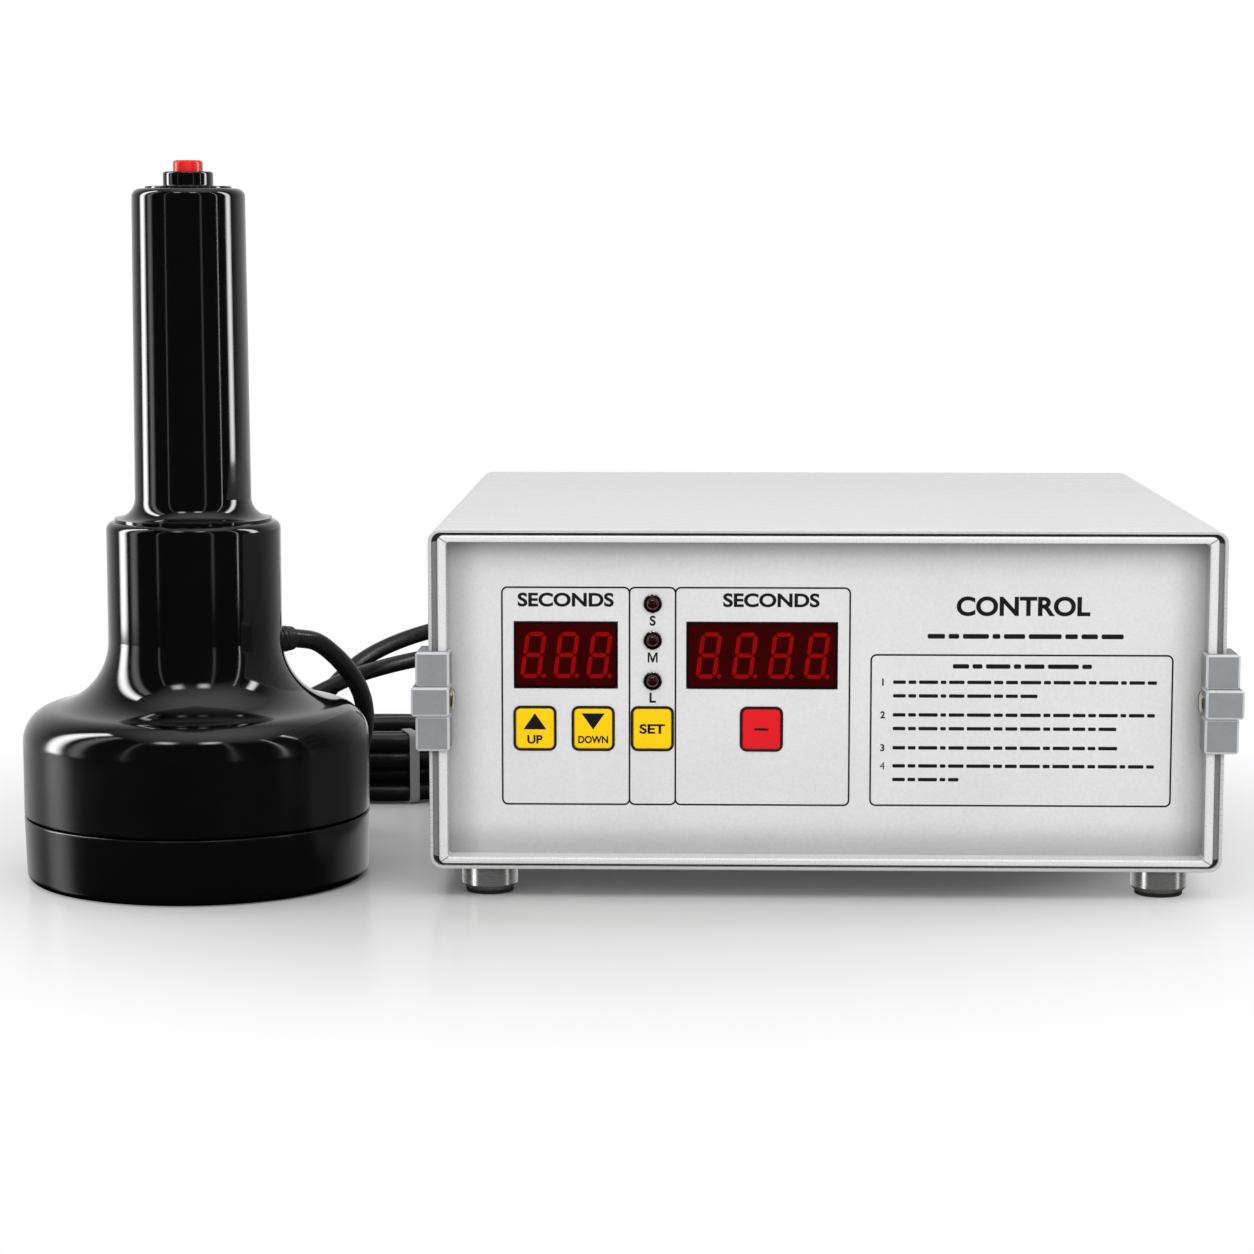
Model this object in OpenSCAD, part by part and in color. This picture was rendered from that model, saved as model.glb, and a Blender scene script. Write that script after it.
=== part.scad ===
// Handheld induction cap sealer: a sealing head, its control unit and the cables between them.
// Frame: +X to the right, +Y to the back, +Z up, in millimetres. The floor is Z = 0 and the
// origin is the middle of the box round the head and the control unit.

/* [Control unit] */
// Width over the covers
case_w = 280; // [270:1:320]
// Height over the covers
case_h = 121; // [115:1:150]
// Depth from the front edge to the rear edge
case_d = 272; // [250:1:320]
// Thickness of the cover sheet
sheet_t = 1.2; // [0.8:0.1:1.6]
// Outer corner radius of the covers
corner_r = 4.6; // [3.5:0.1:8]
// Seam between the two covers on the sides
cover_seam = 0.4; // [0.2:0.1:0.8]
// Depth of both panels behind the case edge
panel_recess = 8; // [7:0.5:12]
// Thickness of both panels
panel_t = 2; // [1.5:0.5:3]

/* [Bezel] */
// Width of the groove beside the cover edge, on the side bars
side_groove = 2.2; // [1.5:0.1:3]
// Width of the bead on the side bars
side_bead = 3; // [2.4:0.1:4]
// Width of the groove beside the cover edge, on the top and bottom bars
level_groove = 0.9; // [0.6:0.1:2]
// Width of the bead on the top and bottom bars
level_bead = 2.3; // [2:0.1:3]
// Depth of the groove behind the case edge
groove_depth = 1.6; // [1:0.1:3]
// How far the bead stands before the case edge
bead_rise = 1; // [0.6:0.1:1.6]
// Bevel on the bead's front edges
bead_bevel = 0.7; // [0.3:0.1:0.9]

/* [Side clamps] */
// How far the middle block stands beside the case
clamp_out = 5.9; // [5:0.1:8]
// How far the outer blocks stand beside the case
clamp_block_out = 4.4; // [3:0.1:4.8]
// How far the middle block stands before the case edge
clamp_front = 5.5; // [4.5:0.1:7]
// How far the outer blocks stand before the case edge
clamp_block_front = 4; // [3:0.1:4.4]
// Reach of the clamp along the side of the case
clamp_back = 14; // [10:1:20]
// Height of the upper block
clamp_upper_h = 12.4; // [10:0.1:15]
// Height of the middle block
clamp_mid_h = 10.3; // [9:0.1:13]
// Height of the lower block
clamp_lower_h = 12.5; // [10:0.1:15]
// Thickness of the leg inside the recess
clamp_leg = 1.2; // [0.8:0.1:2]
// Bevel along the clamp's front edges
clamp_bevel = 0.8; // [0.3:0.1:1.2]
// Shank diameter of the clamp screw
clamp_screw_d = 3; // [2.5:0.5:4]
// Head diameter of the clamp screw
clamp_screw_head_d = 7.6; // [6:0.1:8]
// Head height of the clamp screw
clamp_screw_head_h = 1.6; // [1:0.1:2.4]

/* [Feet] */
// Diameter of a foot
foot_d = 20; // [16:1:26]
// Height of a foot with its pad
foot_h = 10; // [8:0.5:16]
// Foot centre from the side of the case
foot_inset_x = 20.5; // [15:0.5:40]
// Foot centre from the case edge, front and rear
foot_inset_y = 12.5; // [12:0.5:40]
// Part of the pad that shows below the cup
pad_h = 1.5; // [1:0.1:2.5]
// Diameter of the pad's plug inside the cup
pad_plug_d = 14; // [10:0.5:15]
// Height of the pad's plug inside the cup
pad_plug_h = 3; // [2:0.5:5]

/* [Front panel] */
// Height of both display windows
window_h = 24.1; // [20:0.1:28]
// Width of the short display window
seal_window_w = 37; // [32:0.5:40]
// Width of the long display window
hold_window_w = 53.7; // [45:0.1:58]
// Middle of the windows above the panel's middle
window_rise = 15.2; // [13:0.1:18]
// Middle of the short window from the side of the case
seal_side = 48.1; // [46:0.1:50]
// Middle of the long window from the side of the case
hold_side = 117.6; // [116:0.1:122]
// Depth of the display modules
display_t = 8; // [7:0.5:12]
// Diameter of the indicator lamps
lamp_d = 5; // [4:0.5:5]
// Diameter of the chrome rings round the lamps
lamp_ring_d = 7; // [6.5:0.1:8]
// Height of the lamps' domes before the panel
lamp_rise = 2.8; // [2.6:0.1:3.5]
// Lamps from the side of the case
lamp_side = 78.9; // [78:0.1:80]
// Width of a key
key_w = 13.4; // [11:0.1:14]
// Height of a key
key_h = 14.2; // [11:0.1:15]
// Corner radius of a key
key_r = 1.6; // [1:0.1:3]
// Height of a key before the panel
key_rise = 0.8; // [0.7:0.1:2]
// Travel of a key
key_travel = 0.6; // [0.3:0.1:0.6]
// Middle of the keys below the panel's middle
key_drop = 11.1; // [10:0.1:14]
// Running gap round a key
key_gap = 0.3; // [0.2:0.05:0.4]
// Width of the black rim round a key
key_rim_w = 0.6; // [0.4:0.1:1]
// Height of the black rim before the panel
key_rim_t = 0.4; // [0.2:0.1:0.6]

/* [Rear panel] */
// Side of the square fan
fan_size = 60; // [50:1:70]
// Depth of the fan frame
fan_depth = 20; // [18:1:28]
// Fan frame from the side of the case
fan_side = 40; // [20:1:50]
// Width of the rocker switch's body
switch_w = 12.8; // [12:0.1:14]
// Height of the rocker switch's body
switch_h = 18.8; // [18:0.1:22]
// Swing of the rocker from off to on
rocker_swing = 20; // [14:1:24]
// Rocker switch and fuse holder from the panel's middle, sideways
service_x = -20; // [-35:1:10]
// Body diameter of the fuse holder
fuse_d = 12; // [11:0.5:14]
// Fuse holder above the panel's middle
fuse_rise = 28; // [24:1:34]

/* [Sealing head] */
// Diameter of the head at the bell
head_d = 125.6; // [118:0.1:140]
// Space between the head and the nearest clamp
head_gap = 20; // [15:1:40]
// Head axis behind the front edge of the case
head_back = 40; // [20:1:60]
// Radius on the bottom edge of the base cover
base_edge_r = 3.3; // [2:0.1:5]
// How much the base cover narrows towards the floor, on the radius
base_taper = 0.6; // [0:0.1:1.5]
// Thickness of the sealing face
base_floor = 3; // [2:0.5:4]
// Height of the seam between base cover and bell
seam_z = 24; // [22:0.5:30]
// Bevel on both sides of the seam
seam_bevel = 0.4; // [0.2:0.1:0.8]
// Height where the bell's shoulder starts to turn in
shoulder_z = 51; // [45:0.5:55]
// Diameter of the neck
neck_d = 63; // [58:0.5:68]
// Radius of the flare between bell and neck
flare_r = 24.5; // [20:0.5:26]
// Height where the flare runs into the neck
flare_top_z = 87.5; // [85:0.5:92]
// Height of the neck's top
neck_top_z = 130.5; // [125:0.5:140]
// Radius on the neck's rim
neck_round = 3; // [1.5:0.5:4]
// Wall of the bell and the grip
head_wall = 3; // [2.5:0.1:3.5]
// Diameter of the grip's foot on the neck
grip_foot_d = 57; // [54:0.5:57]
// Diameter of the grip above its fillet
grip_d = 42; // [40:0.1:44]
// Diameter of the grip near its top
grip_top_d = 40.6; // [40:0.1:44]
// Thickness of the grip's foot at its rim
grip_foot_t = 1; // [0.5:0.1:2]
// Height of the grip's top
grip_top_z = 250; // [230:1:270]
// Radius on the grip's top edge
grip_round = 3; // [1:0.5:4]
// Diameter of the plate on the grip's end
end_plate_d = 31; // [28:0.5:34]
// Thickness of the plate on the grip's end
end_plate_t = 0.8; // [0.5:0.1:2]
// Diameter of the collar round the trigger button
collar_d = 18; // [16:0.5:20]
// Height of the collar over the grip
collar_h = 6; // [4:0.5:9]
// Diameter of the trigger button
button_d = 10.6; // [8:0.1:12]
// Height of the button over its collar
button_rise = 4; // [3.5:0.1:6]
// Travel of the trigger button
button_travel = 2.5; // [1:0.1:3]
// Thickness of the coil's wire
coil_wire_d = 3; // [2:0.5:4]
// Turns of the coil
coil_turns = 12; // [8:1:13]
// Height of the gland's axis
gland_z = 84; // [83.5:0.5:100]
// Diameter of the gland
gland_d = 10; // [9:0.1:11]
// Reach of the gland from the head's axis
gland_reach = 42; // [40:0.5:46]

/* [Cables] */
// Diameter of both cables
cord_d = 7; // [6:0.5:7]

/* [Hidden] */
$fn = 96;
// Small overlap of cutting tools
cut = 1;
// Fit of still pieces in their seats
seat_fit = 0.1;
// Gap between a moving piece and its stop
stop_gap = 0.3;
// Running gap of a shaft in its bush, on the radius
bush_gap = 0.05;

// Places of the two units
span_x = head_d + head_gap + clamp_out + case_w + clamp_out;
head_cx = -span_x / 2 + head_d / 2;
case_cx = span_x / 2 - clamp_out - case_w / 2;
front_y = -(head_back - head_d / 2 + case_d + clamp_front) / 2;
rear_y = front_y + case_d;
head_cy = front_y + head_back;
mid_z = foot_h + case_h / 2;
case_floor = foot_h + sheet_t;

// Bezel and clamps
side_bar = sheet_t + side_groove + side_bead;
level_bar = sheet_t + level_groove + level_bead;
clamp_screw_y = front_y + clamp_screw_head_d / 2 - bead_rise - 0.6;
clamp_face = side_bar + clamp_leg;

// Front panel layers, from the panel's face backwards
panel_y = front_y + panel_recess;
panel_back = panel_y + panel_t;
board_y = panel_back + display_t;
board_t = 1.6;
window_rise_out = 0.3;
display_margin = 1;
seal_x = seal_side - case_w / 2;
hold_x = hold_side - case_w / 2;
lamp_x = lamp_side - case_w / 2;
key_from_side = [37.1, 57.8, 78.8, 117.5];
key_xs = [for (x = key_from_side) x - case_w / 2];
key_flange = 1.2;
key_flange_t = 1;
switch_body = 6;
switch_body_h = 4;
plunger_d = 3.4;
plunger_h = 0.6;
key_stem_d = 5;
key_stem_end = board_y - switch_body_h - plunger_h - key_travel - stop_gap;
lamp_zs = [33.7, 20.6, 6.1];
lamp_ring_t = 1.2;
lamp_collar_d = lamp_d + 1;
lamp_lead_d = 0.6;
lamp_lead_pitch = 2.5;
lamp_body_end = panel_back + 3;
post_d = 5;
post_inset = post_d / 2 + 0.5;
board_margin = display_margin + post_d + 1;
board_x0 = seal_x - seal_window_w / 2 - board_margin;
board_x1 = hold_x + hold_window_w / 2 + board_margin;
board_z0 = -key_drop - key_h / 2 - board_margin;
board_z1 = max(lamp_zs[0] + board_margin, window_rise + window_h / 2 + board_margin);

// Power stage on the floor of the case
power_w = 150;
power_l = 110;
power_side = 20;
power_front = 51;
power_x = case_cx - case_w / 2 + power_side + power_w / 2;
power_y = front_y + power_front + power_l / 2;
power_post_h = 8;
power_z = case_floor + power_post_h;
sink_w = 90;
sink_l = 60;
sink_base = 6;
sink_fin_h = 30;
sink_fins = 10;
sink_fin_t = 2;
core_w = 60;
core_l = 30;
core_h = 50;
core_leg = 10;
winding_over = 8;
core_side = 18;
core_front = 81;
core_x = case_cx + case_w / 2 - core_side - core_w / 2;
core_y = front_y + core_front + core_l / 2;

// Rear panel
slot_h = 3.5;
slot_pitch = 7;
slot_count = 7;
fan_x = case_w / 2 - fan_side - fan_size / 2;
fan_z = 2;
fan_bore_d = fan_size - 3;
fan_tip_gap = 1;
fan_hub_d = 22;
fan_shaft_d = 3;
fan_plate_t = 3;
fan_blades = 7;
fan_blade_w = 13;
fan_blade_t = 1.4;
fan_blade_tilt = 35;
switch_z = 0;
switch_flange = 1.1;
switch_flange_t = 1.8;
switch_depth = 13;
switch_wall = 1;
rocker_pocket_w = switch_w - 2 * switch_wall;
rocker_pocket_h = switch_h - 3 * switch_wall;
rocker_w = rocker_pocket_w - 2 * stop_gap;
rocker_half = rocker_pocket_h / 2 - 1.1;
rocker_pin_d = 2;
rocker_pivot_y = 1;
fuse_flange_d = fuse_d + 3;
fuse_flange_t = 2;
fuse_depth = 22;
fuse_bore_d = fuse_d - 3.8;
fuse_bore_depth = 16;
fuse_knob_h = 7;
fuse_slot = 1.4;
relief_out = 14;
relief_reach = panel_recess + relief_out;
relief_rim = 4;
relief_flange_d = cord_d + 2 * relief_rim;
relief_flange_t = 3;
relief_barrel_wall = 2.5;
relief_barrel_d = cord_d + 2 * relief_barrel_wall;
relief_root_wall = 2.25;
relief_root_d = cord_d + 2 * relief_root_wall;
relief_tip_wall = 0.75;
relief_tip_d = cord_d + 2 * relief_tip_wall;
head_relief = [-67.8, -8.5];
mains_relief_at = [-97.8, -20.5];

// Sealing head
head_r = head_d / 2;
base_r = head_r - base_taper;
neck_r = neck_d / 2;
flare_c = [neck_r + flare_r, flare_top_z];
shoulder_a = flare_c[0] - head_r;
shoulder_b = flare_top_z - shoulder_z;
shoulder_r = (shoulder_a * shoulder_a + shoulder_b * shoulder_b - flare_r * flare_r)
    / (2 * (flare_r - shoulder_a));
shoulder_c = [head_r - shoulder_r, shoulder_z];
blend_angle = atan2(flare_c[1] - shoulder_c[1], flare_c[0] - shoulder_c[0]);
lip_r = head_r - head_wall - 2 * seat_fit;
lip_t = 2.6;
lip_h = 6;
carrier_r = lip_r - lip_t - 2 * seat_fit;
carrier_t = 4;
carrier_hole_d = 12;
carrier_z = base_floor + coil_wire_d;
coil_r0 = 15;
coil_pitch = coil_wire_d - 0.1;
ferrite_count = 6;
ferrite_r0 = 14;
ferrite_l = 36;
ferrite_w = 12;
ferrite_h = 8;
spigot_r = 14;
spigot_bore_r = 11;
spigot_h = 4.5;
grip_r = grip_d / 2;
grip_top_r = grip_top_d / 2;
grip_foot_r = grip_foot_d / 2;
grip_fillet = grip_foot_r - grip_r;
grip_fillet_z = neck_top_z + grip_foot_t + grip_fillet;
grip_hole_r = end_plate_d / 2 - 2.5;
collar_top_z = grip_top_z + collar_h;
button_top_z = collar_top_z + button_rise;
button_flange_d = button_d + 3.4;
button_flange_t = 1.2;
button_edge = 0.8;
plug_z = grip_top_z - head_wall;
button_flange_z = plug_z - stop_gap - button_flange_t;
trigger_stem_d = 5;
trigger_stem_h = 2.7;
trigger_plunger_d = 3;
trigger_plunger_h = 1;
trigger_w = 18.4;
trigger_l = 10;
trigger_h = 14;
trigger_top_z = button_flange_z - trigger_stem_h - button_travel - stop_gap - trigger_plunger_h;
arm_t = 2;
gland_angle = 40;
gland_tip_d = cord_d + 1.6;
gland_root_r = neck_r - head_wall - 3;
gland_nose = 6;
gland_taper_r = gland_reach - gland_nose;

// Cables: routes of their free stretches, by hand
cord_sides = 10;
head_route = [
    [head_cx + gland_reach * cos(gland_angle), head_cy + gland_reach * sin(gland_angle), gland_z],
    [-116, -54.5, 82], [-110, -49, 76.5], [-105.5, -43, 70], [-102, -37, 62.5], [-100.5, -31, 54.5],
    [-101, -25, 46], [-104, -17, 33], [-108, -6, 19], [-113, 7, 8.5], [-121, 21, 4.6],
    [-132, 34, 4.5], [-146, 46, 4.5], [-161, 55, 4.5], [-178, 60, 4.5]
];
tail_route = [
    [-176, 116, 11.5], [-166, 118.5, 11.2], [-156, 124, 13], [-147, 131, 20], [-138, 139, 31],
    [-129, 150, 41], [-117, 165, 49], [-100, 179, 55], [-80, 188, 59], [-60, 192, 61], [-40, 192.5, 62],
    [-28, 191.5, 62], [-15, 189, 62], [-4.5, 182, 62], [2.5, 171, 62],
    [case_cx + head_relief[0], rear_y - panel_recess + relief_reach, mid_z + head_relief[1]]
];
mains_route = [
    [case_cx + mains_relief_at[0], rear_y - panel_recess + relief_reach, mid_z + mains_relief_at[1]],
    [-27, 169.5, 50], [-33.5, 179, 50], [-43, 185.5, 50], [-54, 187.5, 49.5], [-66, 186.5, 48.7],
    [-78, 182.5, 47.8], [-91, 174, 46.5], [-106, 161, 44.8], [-117, 148, 43.2], [-125, 136.5, 41.5],
    [-133, 127.5, 38.5], [-143, 121, 34], [-155, 117.5, 29], [-168, 116, 25.5]
];
plug_route = [
    [-72.5, 88, 18.5], [-72.5, 98, 18.6], [-72.8, 108, 18.6], [-74.5, 119, 15], [-78.5, 130, 9.5],
    [-85, 140, 5.5], [-93.5, 147.5, 4.6], [-102.5, 152, 5.6], [-112, 153, 6.9]
];

// Hanks: two columns and two layers of turns round two fold centres
hank_run = 84;
hank_fold_r = 24.5;
hank_c = [-142.5, 88];
hank_z = 1;
tie_turn = 20;
tie_w = 4;
tie_t = 0.8;
tie_slack = 0.4;

// Plug on the floor behind the hank
plug_sleeve = 22;
plug_l = 30;
plug_w = 35;
plug_waist = 14;
plug_t = 13.7;
plug_nose = 12;
pin_d = 4;
pin_l = 19;
pin_pitch = 18.6;

// Shared shapes

// Points of an arc round c, from angle a0 to angle a1
function arc(c, r, a0, a1, steps = 12) =
    [for (i = [0:steps]) let (a = a0 + (a1 - a0) * i / steps) c + r * [cos(a), sin(a)]];

// Rectangle with round corners, about its middle
module rounded_rect(w, h, r) {
    square([w - 2 * r, h], center = true);
    square([w, h - 2 * r], center = true);
    for (x = [-1, 1], y = [-1, 1])
        translate([x * (w / 2 - r), y * (h / 2 - r)])
            circle(r);
}

// Extrudes a section drawn in X and Z from y0 to y1
module along_y(y0, y1) {
    translate([0, y1, 0])
        rotate([90, 0, 0])
            linear_extrude(y1 - y0)
                children();
}

// Moves to the middle of the case
module at_case() {
    translate([case_cx, 0, mid_z])
        children();
}

// Turns what is drawn at the front of the case to its rear
module at_rear() {
    at_case()
        translate([0, front_y + rear_y, 0])
            mirror([0, 1, 0])
                children();
}

// Moves to the axis of the sealing head, at height z
module at_head(z = 0) {
    translate([head_cx, head_cy, z])
        children();
}

// Places of the four feet
module at_feet() {
    for (x = [-1, 1], y = [front_y + foot_inset_y, rear_y - foot_inset_y])
        translate([case_cx + x * (case_w / 2 - foot_inset_x), y, 0])
            children();
}

// Covers

module cover_section() {
    difference() {
        rounded_rect(case_w, case_h, corner_r);
        rounded_rect(case_w - 2 * sheet_t, case_h - 2 * sheet_t, corner_r - sheet_t);
    }
}

// Upper half of the folded cover, mirrored for the lower one
module half_cover() {
    along_y(front_y, rear_y)
        intersection() {
            cover_section();
            translate([-case_w / 2, cover_seam / 2])
                square([case_w, case_h]);
        }
}

module top_cover() {
    color("gainsboro")
        at_case()
            half_cover();
}

module bottom_cover() {
    color("silver")
        at_case()
            mirror([0, 0, 1])
                half_cover();
}

// Bezels

// Section across the bead's crown between its outer faces, w apart. A bevel over 0 narrows it
// at the front, and one under 0 widens it there.
module crown_section(w, bevel) {
    crown_y = front_y - bead_rise;
    polygon([
        [-w / 2, panel_y + cut], [-w / 2, crown_y + abs(bevel)], [bevel - w / 2, crown_y],
        [bevel - w / 2, crown_y - cut], [w / 2 - bevel, crown_y - cut], [w / 2 - bevel, crown_y],
        [w / 2, crown_y + abs(bevel)], [w / 2, panel_y + cut]
    ]);
}

// Block w wide and h high with bevelled front edges that meet in mitres
module crown(w, h, bevel) {
    intersection() {
        linear_extrude(case_h, center = true)
            crown_section(w, bevel);
        rotate([0, -90, 0])
            linear_extrude(case_w, center = true)
                crown_section(h, bevel);
    }
}

// Flange inside the covers, the bead before it and the opening through both
module bezel() {
    groove_x = sheet_t + side_groove;
    groove_z = sheet_t + level_groove;
    color("lightgray")
        difference() {
            union() {
                along_y(front_y + groove_depth, panel_y)
                    rounded_rect(case_w - 2 * sheet_t, case_h - 2 * sheet_t, corner_r - sheet_t);
                intersection() {
                    crown(case_w - 2 * groove_x, case_h - 2 * groove_z, bead_bevel);
                    along_y(front_y - bead_rise, panel_y)
                        square([case_w, case_h], center = true);
                }
            }
            crown(case_w - 2 * side_bar, case_h - 2 * level_bar, -bead_bevel);
            for (right = [0, 1])
                mirror([right, 0, 0])
                    clamp_screw_hole();
        }
}

module front_bezel() {
    at_case()
        bezel();
}

module rear_bezel() {
    at_rear()
        bezel();
}

// Clamps

// Hole of the left front clamp's screw, through the inner leg and the bar
module clamp_screw_hole() {
    translate([sheet_t - case_w / 2, clamp_screw_y, 0])
        rotate([0, 90, 0])
            cylinder(d = clamp_screw_d + 2 * seat_fit, h = clamp_face - sheet_t + cut);
}

// Hook round the side bar: x runs inwards from the case side, y backwards from the case edge
module clamp_section(out, front) {
    polygon([
        [-out, clamp_back], [-out, clamp_bevel - front], [clamp_bevel - out, -front],
        [clamp_face - clamp_bevel, -front], [clamp_face, clamp_bevel - front],
        [clamp_face, panel_recess], [side_bar, panel_recess], [side_bar, -bead_rise],
        [0, -bead_rise], [0, clamp_back]
    ]);
}

module clamp_block(z0, height, out, front) {
    translate([-case_w / 2, front_y, z0])
        linear_extrude(height)
            clamp_section(out, front);
}

// Clamp on the left side of the front edge
module clamp() {
    color("darkgray")
        difference() {
            union() {
                clamp_block(clamp_mid_h / 2, clamp_upper_h, clamp_block_out, clamp_block_front);
                clamp_block(-clamp_mid_h / 2, clamp_mid_h, clamp_out, clamp_front);
                clamp_block(
                    -clamp_mid_h / 2 - clamp_lower_h, clamp_lower_h, clamp_block_out, clamp_block_front
                );
            }
            clamp_screw_hole();
        }
}

module clamp_front_left() {
    at_case()
        clamp();
}

module clamp_front_right() {
    at_case()
        mirror([1, 0, 0])
            clamp();
}

module clamp_rear_left() {
    at_rear()
        clamp();
}

module clamp_rear_right() {
    at_rear()
        mirror([1, 0, 0])
            clamp();
}

// Screw of the left front clamp, its head in the recess
module clamp_screw() {
    translate([clamp_face - case_w / 2, clamp_screw_y, 0])
        rotate([0, 90, 0]) {
            cylinder(d = clamp_screw_head_d, h = clamp_screw_head_h);
            translate([0, 0, sheet_t + seat_fit - clamp_face])
                cylinder(d = clamp_screw_d, h = clamp_face - sheet_t);
        }
}

module clamp_screws() {
    color("goldenrod")
        for (right = [0, 1]) {
            at_case()
                mirror([right, 0, 0])
                    clamp_screw();
            at_rear()
                mirror([right, 0, 0])
                    clamp_screw();
        }
}

// Feet

module foot_cups() {
    color("silver")
        at_feet()
            rotate_extrude()
                polygon([
                    [0, foot_h], [foot_d / 2, foot_h], [foot_d / 2, 2 * pad_h], [foot_d / 2 - pad_h, pad_h],
                    [pad_plug_d / 2 + seat_fit, pad_h], [pad_plug_d / 2 + seat_fit, pad_h + pad_plug_h],
                    [0, pad_h + pad_plug_h]
                ]);
}

module foot_pads() {
    color("black")
        at_feet() {
            cylinder(d = foot_d - 2 * pad_h, h = pad_h);
            cylinder(d = pad_plug_d, h = pad_h + pad_plug_h);
        }
}

// Front panel

module panel_outline() {
    rounded_rect(
        case_w - 2 * sheet_t - 2 * seat_fit, case_h - 2 * sheet_t - 2 * seat_fit,
        corner_r - sheet_t - seat_fit
    );
}

module key_outline(grow) {
    rounded_rect(key_w + 2 * grow, key_h + 2 * grow, key_r + grow);
}

module front_panel() {
    color("whitesmoke")
        at_case()
            along_y(panel_y, panel_back)
                difference() {
                    panel_outline();
                    translate([seal_x, window_rise])
                        square([seal_window_w, window_h], center = true);
                    translate([hold_x, window_rise])
                        square([hold_window_w, window_h], center = true);
                    for (x = key_xs)
                        translate([x, -key_drop])
                            key_outline(key_gap);
                    for (z = lamp_zs)
                        translate([lamp_x, z])
                            circle(d = lamp_collar_d + 2 * seat_fit);
                }
}

module display_window(x, w) {
    color([0.2, 0.02, 0.03])
        at_case()
            along_y(panel_y - window_rise_out, panel_back)
                translate([x, window_rise])
                    square([w - 2 * seat_fit, window_h - 2 * seat_fit], center = true);
}

module seal_window() {
    display_window(seal_x, seal_window_w);
}

module hold_window() {
    display_window(hold_x, hold_window_w);
}

module display_module(x, w) {
    color("dimgray")
        at_case()
            along_y(panel_back, board_y)
                translate([x, window_rise])
                    square([w + 2 * display_margin, window_h + 2 * display_margin], center = true);
}

module seal_display() {
    display_module(seal_x, seal_window_w);
}

module hold_display() {
    display_module(hold_x, hold_window_w);
}

module lamp_rings() {
    color("gainsboro")
        at_case()
            for (z = lamp_zs)
                translate([lamp_x, 0, z]) {
                    along_y(panel_y - lamp_ring_t, panel_y)
                        difference() {
                            circle(d = lamp_ring_d);
                            circle(d = lamp_d + 2 * seat_fit);
                        }
                    along_y(panel_y, panel_back)
                        difference() {
                            circle(d = lamp_collar_d);
                            circle(d = lamp_d + 2 * seat_fit);
                        }
                }
}

// Indicator lamp with its dome, its flange behind the panel and its two leads
module lamp(z) {
    color("maroon")
        at_case()
            translate([lamp_x, 0, z]) {
                translate([0, panel_y - lamp_rise + lamp_d / 2, 0])
                    sphere(d = lamp_d);
                along_y(panel_y - lamp_rise + lamp_d / 2, lamp_body_end)
                    circle(d = lamp_d);
                along_y(panel_back, panel_back + 1)
                    circle(d = lamp_collar_d);
                for (x = [-0.5, 0.5])
                    along_y(lamp_body_end - cut, board_y)
                        translate([x * lamp_lead_pitch, 0])
                            circle(d = lamp_lead_d);
            }
}

module lamp_small() {
    lamp(lamp_zs[0]);
}

module lamp_medium() {
    lamp(lamp_zs[1]);
}

module lamp_large() {
    lamp(lamp_zs[2]);
}

// Key cap through the panel, its flange behind it and the stem towards its switch
module key(x, paint) {
    color(paint)
        at_case()
            translate([x, 0, -key_drop]) {
                along_y(panel_y - key_rise, panel_back + stop_gap + key_flange_t)
                    key_outline(0);
                along_y(panel_back + stop_gap, panel_back + stop_gap + key_flange_t)
                    key_outline(key_flange);
                along_y(panel_back + stop_gap, key_stem_end)
                    circle(d = key_stem_d);
            }
}

module key_up() {
    key(key_xs[0], "gold");
}

module key_down() {
    key(key_xs[1], "gold");
}

module key_set() {
    key(key_xs[2], "gold");
}

module key_minus() {
    key(key_xs[3], "crimson");
}

module key_rims() {
    color("black")
        at_case()
            along_y(panel_y - key_rim_t, panel_y)
                for (x = key_xs)
                    translate([x, -key_drop])
                        difference() {
                            key_outline(key_gap + key_rim_w);
                            key_outline(key_gap);
                        }
}

module key_switches() {
    color("black")
        at_case()
            for (x = key_xs)
                translate([x, 0, -key_drop]) {
                    along_y(board_y - switch_body_h, board_y)
                        square(switch_body, center = true);
                    along_y(board_y - switch_body_h - plunger_h, board_y)
                        circle(d = plunger_d);
                }
}

module control_board() {
    color("seagreen")
        at_case()
            along_y(board_y, board_y + board_t)
                translate([board_x0, board_z0])
                    square([board_x1 - board_x0, board_z1 - board_z0]);
}

// Posts between panel and control board, and under the power board
module board_posts() {
    color("goldenrod") {
        at_case()
            for (x = [board_x0 + post_inset, board_x1 - post_inset])
                for (z = [board_z0 + post_inset, board_z1 - post_inset])
                    translate([x, 0, z])
                        along_y(panel_back, board_y)
                            circle(d = post_d);
        for (x = [-1, 1], y = [-1, 1])
            translate([
                power_x + x * (power_w / 2 - post_inset),
                power_y + y * (power_l / 2 - post_inset),
                case_floor
            ])
                cylinder(d = post_d, h = power_post_h);
    }
}

// Power stage

module power_board() {
    color("darkgreen")
        translate([power_x - power_w / 2, power_y - power_l / 2, power_z])
            cube([power_w, power_l, board_t]);
}

module heatsink() {
    color("silver")
        translate([power_x - sink_w / 2, power_y - sink_l / 2, power_z + board_t]) {
            cube([sink_w, sink_l, sink_base]);
            for (i = [0:sink_fins - 1])
                translate([i * (sink_w - sink_fin_t) / (sink_fins - 1), 0, 0])
                    cube([sink_fin_t, sink_l, sink_base + sink_fin_h]);
        }
}

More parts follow.
